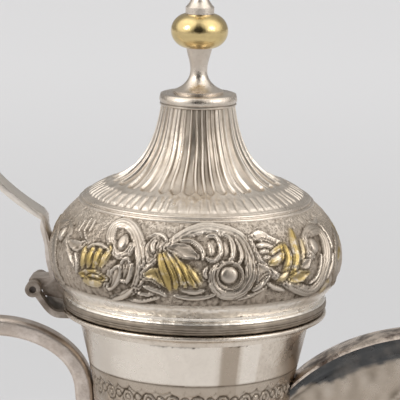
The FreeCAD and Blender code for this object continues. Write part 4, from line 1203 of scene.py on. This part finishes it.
def cheek_point(x, v, top, keel):
    """Outer face of a cheek: half width and height at a place and a share of the way down to the keel."""
    high = np.interp(x, top[:, 0], top[:, 1])
    low = np.interp(x, keel[:, 0], keel[:, 1])
    share = (x - SPOUT_ROOT_X) / (SPOUT_TIP_X - SPOUT_ROOT_X)
    half = SPOUT_TIP_HALF_W + (SPOUT_HALF_W - SPOUT_TIP_HALF_W) * (1 - share ** SPOUT_TAPER)
    side = SPOUT_SIDE_FULLNESS * half
    level = low + SPOUT_SIDE_HEIGHT * (high - low)
    edge = half ** 2 + high ** 2
    flank = side ** 2 + level ** 2
    d = 2 * (half * (level - low) + side * (low - high))
    ux = (edge * (level - low) + flank * (low - high) + low ** 2 * (high - level)) / d
    uy = (low ** 2 * (side - half) + edge * (0 - side) + flank * half) / d
    radius = np.hypot(half - ux, high - uy)
    start = np.arctan2(high - uy, half - ux)
    end = np.arctan2(low - uy, 0 - ux)
    turn = start + (end - start) * v
    return ux + radius * np.cos(turn), uy + radius * np.sin(turn)


class DALLAH_OT_spout(bpy.types.Operator):
    """The beak: two chased cheeks soldered along the keel and the crowned strip that roofs them"""
    bl_idname = "dallah.spout"
    bl_label = "Spout"

    def execute(self, context):
        for node, name, side in (
            ("spout_near_cheek", "chased_near_cheek", -1),
            ("spout_far_cheek", "chased_far_cheek", 1),
        ):
            piece = self.cheek(name, side)
            finish_piece(piece, "pot", node, plain_silver())
        cover = eased_copy("spout_cover", "eased_cover", width=0.35 * MM)
        finish_piece(cover, "pot", "spout_cover", stained_silver())
        return {"FINISHED"}

    def cheek(self, name, side):
        """One cheek as a thin plate, chased with a border line and a leafy scroll."""
        top, keel = spout_lines()
        place, _, _ = outline(neck_stations(), 200)
        v = np.linspace(0, 1, CHEEK_ROWS)
        reach = np.linspace(SPOUT_ROOT_X + 0.01, SPOUT_TIP_X, 800)
        bpy.ops.object.select_all(action="DESELECT")
        bpy.ops.mesh.primitive_grid_add(x_subdivisions=CHEEK_STEPS, y_subdivisions=CHEEK_ROWS - 1, size=2)
        piece = bpy.context.active_object
        give_name(piece, name)
        flat = points_of(piece) * MM
        step = np.rint((flat[:, 0] + 1) / 2 * CHEEK_STEPS).astype(int)
        level = np.rint((flat[:, 1] + 1) / 2 * (CHEEK_ROWS - 1)).astype(int)
        root = np.empty(CHEEK_ROWS)
        for k, share in enumerate(v):
            half, z = cheek_point(reach, share, top, keel)
            clear = np.hypot(reach, half) > np.interp(z, place[:, 1], place[:, 0]) - 0.6
            root[k] = reach[clear.argmax()]
        x = root[level] + (SPOUT_TIP_X - root[level]) * step / CHEEK_STEPS
        share = v[level]
        half, z = cheek_point(x, share, top, keel)
        depth = np.interp(x, top[:, 0], top[:, 1]) - np.interp(x, keel[:, 0], keel[:, 1])
        down = share * depth
        wave = 0.5 + 0.16 * np.sin((x - VINE_START) / VINE_PACE)
        lift = -0.3 * bell(down - CHEEK_BORDER, 0.5) - 0.3 * bell(depth - down - KEEL_BORDER, 0.5)
        room = eased((depth - 14) / 6)
        lift = lift + room * 0.4 * bell((share - wave) * depth, 1.0)
        leaf = np.sin((x - VINE_START) / LEAF_PACE) * bell((share - wave) * depth, 3.4)
        lift = lift + room * 0.22 * leaf
        lift = lift + 0.10 * ripple(x, z, 52, 8.0)
        half = np.clip(half + np.minimum(lift, 0.45) * np.clip((1 - share) * 6, 0, 1), 0, None)
        points = np.stack([x, side * half, z], axis=1)
        points[level == CHEEK_ROWS - 1, 1] = 0
        put_points(piece, points)
        face_outward()
        facing = sum(side * face.normal.y * face.area for face in piece.data.polygons)
        if facing < 0:
            bpy.ops.object.mode_set(mode="EDIT")
            bpy.ops.mesh.flip_normals()
            bpy.ops.object.mode_set(mode="OBJECT")
        paint(piece, "soil_and_shade", np.clip(-lift / 0.4, 0, 1))
        # Painted shadow: the cheek is painted dark blue-grey under the lip, where the overhanging cover
        # shades it.
        lip = np.interp(x, LIP_PLACES, LIP_DEPTHS) + 0.6 * ripple(x, z, 53, 6.0)
        paint(piece, "shaded", eased((lip - down) / 1.6))
        paint(piece, "dulled_and_shaded", np.full(len(x), 1.1))
        paint(piece, "rubbed_and_highlit", np.clip(lift / 0.5, 0, 1))
        thick = piece.modifiers.new("Sheet", "SOLIDIFY")
        thick.thickness = SHEET * MM
        thick.offset = -1
        bpy.ops.object.modifier_apply(modifier=thick.name)
        points = points_of(piece)
        points[:, 0] = np.minimum(points[:, 0], SPOUT_TIP_X)
        points[:, 1] = side * np.clip(side * points[:, 1], 0, None)
        put_points(piece, points)
        bpy.ops.object.shade_smooth_by_angle(angle=math.radians(50))
        return piece


def node_graph(name, metallic):
    """An empty finish with its shader."""
    material = bpy.data.materials.new(name)
    material.use_nodes = True
    tree = material.node_tree
    shader = tree.nodes["Principled BSDF"]
    shader.inputs["Metallic"].default_value = metallic
    return material, tree, shader


def noise(tree, coords, scale, detail=4.0, rough=0.55):
    """A noise node on the piece's own coordinates."""
    node = tree.nodes.new("ShaderNodeTexNoise")
    node.inputs["Scale"].default_value = scale
    node.inputs["Detail"].default_value = detail
    node.inputs["Roughness"].default_value = rough
    tree.links.new(coords, node.inputs["Vector"])
    return node.outputs["Fac"]


def spread(tree, value, low, high, out_low=0.0, out_high=1.0):
    """Stretches a value from one range to another."""
    node = tree.nodes.new("ShaderNodeMapRange")
    node.interpolation_type = "SMOOTHSTEP"
    node.inputs["From Min"].default_value = low
    node.inputs["From Max"].default_value = high
    node.inputs["To Min"].default_value = out_low
    node.inputs["To Max"].default_value = out_high
    tree.links.new(value, node.inputs["Value"])
    return node.outputs["Result"]


def sums(tree, kind, first, second):
    """One step of arithmetic between two sockets or numbers."""
    node = tree.nodes.new("ShaderNodeMath")
    node.operation = kind
    for socket, value in zip(node.inputs, (first, second)):
        if isinstance(value, (int, float)):
            socket.default_value = value
        else:
            tree.links.new(value, socket)
    return node.outputs["Value"]


def tint(tree, share, first, second):
    """A colour between two colours or sockets."""
    node = tree.nodes.new("ShaderNodeMix")
    node.data_type = "RGBA"
    tree.links.new(share, node.inputs[0])
    for socket, value in ((node.inputs[6], first), (node.inputs[7], second)):
        if hasattr(value, "links"):
            tree.links.new(value, socket)
        else:
            socket.default_value = (*value, 1.0)
    return node.outputs[2]


def painted(tree, name):
    """A value painted on the piece's vertices."""
    node = tree.nodes.new("ShaderNodeAttribute")
    node.attribute_name = name
    return node.outputs["Fac"]


def bumped(tree, height, distance, strength, under=None):
    """A bump on top of another."""
    node = tree.nodes.new("ShaderNodeBump")
    node.inputs["Distance"].default_value = distance
    node.inputs["Strength"].default_value = strength
    tree.links.new(height, node.inputs["Height"])
    if under is not None:
        tree.links.new(under, node.inputs["Normal"])
    return node.outputs["Normal"]


# Colours of metals, bright and dull, and of metal that is rubbed bright, which also serves as painted
# highlight and painted bright reflection.
STAINED = ((0.92, 0.79, 0.67), (0.13, 0.09, 0.07))
GILT = ((0.74, 0.58, 0.28), (0.56, 0.42, 0.22))
IRON = ((0.15, 0.13, 0.12), (0.07, 0.055, 0.045))
RUBBED_AND_HIGHLIT_SILVER = (0.92, 0.86, 0.78)
RUBBED_AND_HIGHLIT_GILT = (0.56, 0.42, 0.18)
# Scales of the uneven wear and of the mottling of the painted shadow under the spout's lip, in cells per
# metre, and depths of bumps in metres.
SPECK_SCALE = 700.0
GILT_SCALE = 260.0
DIRT_SCALE = 180.0
SHADE_SCALE = 120.0
SHEEN_SCALE = 90.0
DENT_SCALE = 150.0
DENT_DEPTH = 0.0012
GRAIN_SCALE = 1500.0
GRAIN_DEPTH = 0.0002
PUNCH_SCALE = 1150.0
PUNCH_DEPTH = 0.0005


def worn_metal(name, bright, dull, low_rough, high_rough, dents, grain, cloudy=0.4, patch=60.0):
    """Worn metal: cloudy tarnish, which also serves as painted shade and dark reflections; dirt in fine
    hollows and painted shade in broad ones; polished ridges that double as painted highlights; painted shadow
    under the spout's lip; dents and a fine grain.
    """
    if name in bpy.data.materials:
        return bpy.data.materials[name]
    finish = setting("finish")
    material, tree, shader = node_graph(name, 1.0)
    coords = tree.nodes.new("ShaderNodeTexCoord").outputs["Object"]
    clouds = spread(tree, noise(tree, coords, patch, 6.0, 0.62), 0.36, 0.66)
    specks = spread(tree, noise(tree, coords, SPECK_SCALE, 3.0), 0.45, 0.72)
    soil_and_shade = painted(tree, "soil_and_shade")
    rubbed_and_highlit = painted(tree, "rubbed_and_highlit")
    gilt = painted(tree, "gilt")
    matted = painted(tree, "matted")
    metal = tint(tree, sums(tree, "MULTIPLY", clouds, cloudy), bright, dull)
    metal = tint(tree, sums(tree, "MULTIPLY", specks, 0.25), metal, dull)
    metal = tint(tree, sums(tree, "MULTIPLY", matted, 0.25), metal, dull)
    # Tarnish painted by the pieces, which also stands in for painted shade and dark reflections.
    metal = tint(tree, sums(tree, "MULTIPLY", painted(tree, "dulled_and_shaded"), 0.7), metal, dull)
    worn_gilt = sums(tree, "MULTIPLY", gilt, spread(tree, noise(tree, coords, GILT_SCALE), 0.28, 0.52))
    metal = tint(tree, worn_gilt, metal, tuple(finish.gilding))
    polished_and_highlit = tint(tree, worn_gilt, RUBBED_AND_HIGHLIT_SILVER, RUBBED_AND_HIGHLIT_GILT)
    # Polished colour on rubbed ridges, which also paints highlights and bright reflections.
    metal = tint(tree, sums(tree, "MULTIPLY", rubbed_and_highlit, 0.6), metal, polished_and_highlit)
    # Dirt in fine lines and painted shade in broad hollows darken the metal towards the dark brown colour.
    patchy = spread(tree, noise(tree, coords, DIRT_SCALE), 0.25, 0.65, 0.55, 0.95)
    dirt = sums(tree, "MULTIPLY", soil_and_shade, patchy)
    metal = tint(tree, dirt, metal, tuple(finish.grime_and_shade))
    # Painted shadow under the spout's lip, mottled by noise.
    uneven = spread(tree, noise(tree, coords, SHADE_SCALE), 0.2, 0.6, 0.75, 0.95)
    shaded = sums(tree, "MULTIPLY", painted(tree, "shaded"), uneven)
    metal = tint(tree, shaded, metal, tuple(finish.shade))
    tree.links.new(metal, shader.inputs["Base Color"])
    sheen = spread(tree, noise(tree, coords, SHEEN_SCALE, 5.0), 0.3, 0.7, low_rough, high_rough)
    sheen = sums(tree, "ADD", sheen, sums(tree, "MULTIPLY", soil_and_shade, 0.25))
    sheen = sums(tree, "ADD", sheen, sums(tree, "MULTIPLY", matted, 0.12))
    tree.links.new(sheen, shader.inputs["Roughness"])
    cells = tree.nodes.new("ShaderNodeTexVoronoi")
    cells.inputs["Scale"].default_value = PUNCH_SCALE
    tree.links.new(coords, cells.inputs["Vector"])
    rings = sums(tree, "MULTIPLY", spread(tree, cells.outputs["Distance"], 0.1, 0.5), matted)
    normal = bumped(tree, noise(tree, coords, DENT_SCALE, 3.0), DENT_DEPTH, dents)
    normal = bumped(tree, noise(tree, coords, GRAIN_SCALE, 4.0, 0.7), GRAIN_DEPTH, grain, normal)
    normal = bumped(tree, rings, PUNCH_DEPTH, 0.9, normal)
    tree.links.new(normal, shader.inputs["Normal"])
    return material


def chased_silver():
    finish = setting("finish")
    return worn_metal("chased_silver", tuple(finish.silver), tuple(finish.tarnish), 0.26, 0.40, 0.22, 0.40)


def plain_silver():
    finish = setting("finish")
    return worn_metal("plain_silver", tuple(finish.silver), tuple(finish.tarnish), 0.20, 0.36, 0.30, 0.40)


def stained_silver():
    return worn_metal("stained_silver", *STAINED, 0.24, 0.42, 0.40, 0.45, cloudy=1.0, patch=150.0)


def forged_silver():
    finish = setting("finish")
    return worn_metal(
        "forged_silver", tuple(finish.forged), tuple(finish.browned), 0.26, 0.42, 0.40, 0.50,
        cloudy=0.5, patch=90.0)


def worn_gilding():
    return worn_metal("worn_gilding", *GILT, 0.12, 0.24, 0.15, 0.20)


def dull_iron():
    return worn_metal("dull_iron", *IRON, 0.45, 0.65, 0.3, 0.5)


class DALLAH_OT_plain_parts(bpy.types.Operator):
    """The turned rings, finial and base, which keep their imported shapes"""
    bl_idname = "dallah.plain_parts"
    bl_label = "Rings, finial and base"

    def execute(self, context):
        finishes = (
            (plain_silver(), ("base_plate", "foot_ring", "waist_ring", "mouth_flange", "lid_bezel",
                              "finial_foot", "finial_collar", "finial_nut")),
            (forged_silver(), ("handle_foot",)),
            (worn_gilding(), ("finial_knop", "finial_bud")),
            (dull_iron(), ("hinge_pin", "finial_rod")),
        )
        for material, nodes in finishes:
            for name in nodes:
                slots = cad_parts[name].data.materials
                slots.clear()
                slots.append(material)
        return {"FINISHED"}


FLOOR_R = 9.0
ROOM_LEVEL = 0.38
ROOM_TONE = (1.0, 0.985, 0.965, 1.0)
# Soft boxes beside the camera and overhead, and the dim gaps between them: azimuth, elevation, outer and
# inner angle in degrees, strength.
SOFT_BOXES = ((-70, 38, 50, 26, 0.95), (72, 38, 48, 26, 0.95), (0, 90, 60, 20, 0.36))
DIM_GAPS = ((4, 20, 34, 16, 0.92), (4, 46, 26, 10, 0.55))
# Lamps: name, place, size and power.
LAMPS = (
    ("left_box", (-1.0, -0.7, 0.95), 0.35, 3.4),
    ("right_box", (1.05, -0.6, 0.9), 0.3, 2.6),
)
LAMP_AIM = (0, 0, 0.19)


def placed(name, data):
    """A new object in the scene for a lamp or a camera."""
    holder = bpy.data.objects.new(name, data)
    bpy.context.scene.collection.objects.link(holder)
    return holder


def seen_from(azimuth, elevation):
    """Direction from the pot towards a place round it, with both angles in radians."""
    flat = math.cos(elevation)
    return Vector((math.sin(azimuth) * flat, -math.cos(azimuth) * flat, math.sin(elevation)))


class DALLAH_OT_stage(bpy.types.Operator):
    """A pale floor, soft studio light and the camera"""
    bl_idname = "dallah.stage"
    bl_label = "Stage"

    def execute(self, context):
        stage = setting("stage")
        self.floor(stage)
        self.room()
        self.lamps()
        self.camera(stage)
        context.scene.view_settings.view_transform = "Standard"
        return {"FINISHED"}

    def floor(self, stage):
        bpy.ops.object.select_all(action="DESELECT")
        bpy.ops.mesh.primitive_circle_add(vertices=96, radius=FLOOR_R, fill_type="NGON", location=(0, 0, 0))
        floor = bpy.context.active_object
        floor.name = "floor"
        material, tree, shader = node_graph("pale_floor", 0.0)
        shader.inputs["Roughness"].default_value = 0.9
        coords = tree.nodes.new("ShaderNodeTexCoord").outputs["Object"]
        reach = tree.nodes.new("ShaderNodeVectorMath")
        reach.operation = "LENGTH"
        tree.links.new(coords, reach.inputs[0])
        # Painted light: the floor is paler far away and paler close round the pot's foot.
        far = spread(tree, reach.outputs["Value"], 0.4, 2.0)
        near = spread(tree, reach.outputs["Value"], 0.5, 0.25)
        tone = tint(tree, far, tuple(stage.floor_tone), tuple(stage.far_light_tone))
        tree.links.new(tint(tree, near, tone, tuple(stage.near_light_tone)), shader.inputs["Base Color"])
        floor.data.materials.append(material)

    def room(self):
        """A pale room with soft boxes beside the camera and overhead and a dim gap between them."""
        world = bpy.data.worlds.new("studio")
        bpy.context.scene.world = world
        world.use_nodes = True
        tree = world.node_tree
        glow = tree.nodes["Background"]
        way = tree.nodes.new("ShaderNodeTexCoord").outputs["Generated"]

        def toward(azimuth, elevation, wide, narrow):
            node = tree.nodes.new("ShaderNodeVectorMath")
            node.operation = "DOT_PRODUCT"
            node.inputs[1].default_value = seen_from(math.radians(azimuth), math.radians(elevation))
            tree.links.new(way, node.inputs[0])
            outer, inner = math.cos(math.radians(wide)), math.cos(math.radians(narrow))
            return spread(tree, node.outputs["Value"], outer, inner)

        level = None
        for *spot, strength in SOFT_BOXES:
            step = sums(tree, "MULTIPLY_ADD", toward(*spot), strength)
            if level is None:
                step.node.inputs[2].default_value = ROOM_LEVEL
            else:
                tree.links.new(level, step.node.inputs[2])
            level = step
        gaps = (sums(tree, "MULTIPLY", toward(*spot), strength) for *spot, strength in DIM_GAPS)
        gap = sums(tree, "MAXIMUM", *gaps)
        level = sums(tree, "MULTIPLY", level, sums(tree, "SUBTRACT", 1.0, gap))
        tree.links.new(level, glow.inputs["Strength"])
        glow.inputs["Color"].default_value = ROOM_TONE

    def lamps(self):
        for name, place, size, power in LAMPS:
            lamp = bpy.data.lights.new(name, "AREA")
            lamp.shape = "RECTANGLE"
            lamp.size = size
            lamp.size_y = size * 1.3
            lamp.energy = power
            holder = placed(name, lamp)
            holder.location = place
            holder.rotation_euler = (Vector(LAMP_AIM) - Vector(place)).to_track_quat("-Z", "Y").to_euler()

    def camera(self, stage):
        lens = bpy.data.cameras.new("camera")
        lens.sensor_width = 36.0
        lens.lens = stage.lens
        lens.clip_start = 0.01
        holder = placed("camera", lens)
        back = seen_from(stage.azimuth, stage.elevation)
        aim = Vector((stage.aim_side, 0, stage.aim_height))
        holder.rotation_mode = "QUATERNION"
        holder.location = aim + back * stage.distance
        tilt = Matrix.Rotation(stage.roll, 4, "Z").to_quaternion()
        holder.rotation_quaternion = (-back).to_track_quat("-Z", "Y") @ tilt
        bpy.context.scene.camera = holder


class DALLAH_PT_panel(bpy.types.Panel):
    """The pot's pieces in the order in which they are made"""
    bl_label = "Dallah"
    bl_idname = "DALLAH_PT_panel"
    bl_space_type = "VIEW_3D"
    bl_region_type = "UI"
    bl_category = "Dallah"

    def draw(self, context):
        for operator in OPERATORS:
            self.layout.operator(operator.bl_idname)


OPERATORS = (
    DALLAH_OT_lid_dome,
    DALLAH_OT_lid_spire,
    DALLAH_OT_neck,
    DALLAH_OT_belly,
    DALLAH_OT_spout,
    DALLAH_OT_hinge,
    DALLAH_OT_plain_parts,
    DALLAH_OT_stage,
)
GROUPS = {"lid": DallahLid, "pot": DallahPot, "finish": DallahFinish, "stage": DallahStage}


def register():
    for group in GROUPS.values():
        bpy.utils.register_class(group)
    for name, group in GROUPS.items():
        setattr(bpy.types.Scene, "dallah_" + name, PointerProperty(type=group))
    for operator in OPERATORS:
        bpy.utils.register_class(operator)
    bpy.utils.register_class(DALLAH_PT_panel)


def unregister():
    bpy.utils.unregister_class(DALLAH_PT_panel)
    for operator in reversed(OPERATORS):
        bpy.utils.unregister_class(operator)
    for name, group in GROUPS.items():
        delattr(bpy.types.Scene, "dallah_" + name)
        bpy.utils.unregister_class(group)


def main():
    register()
    for operator in OPERATORS:
        family, name = operator.bl_idname.split(".")
        getattr(getattr(bpy.ops, family), name)()


if __name__ == "__main__":
    main()
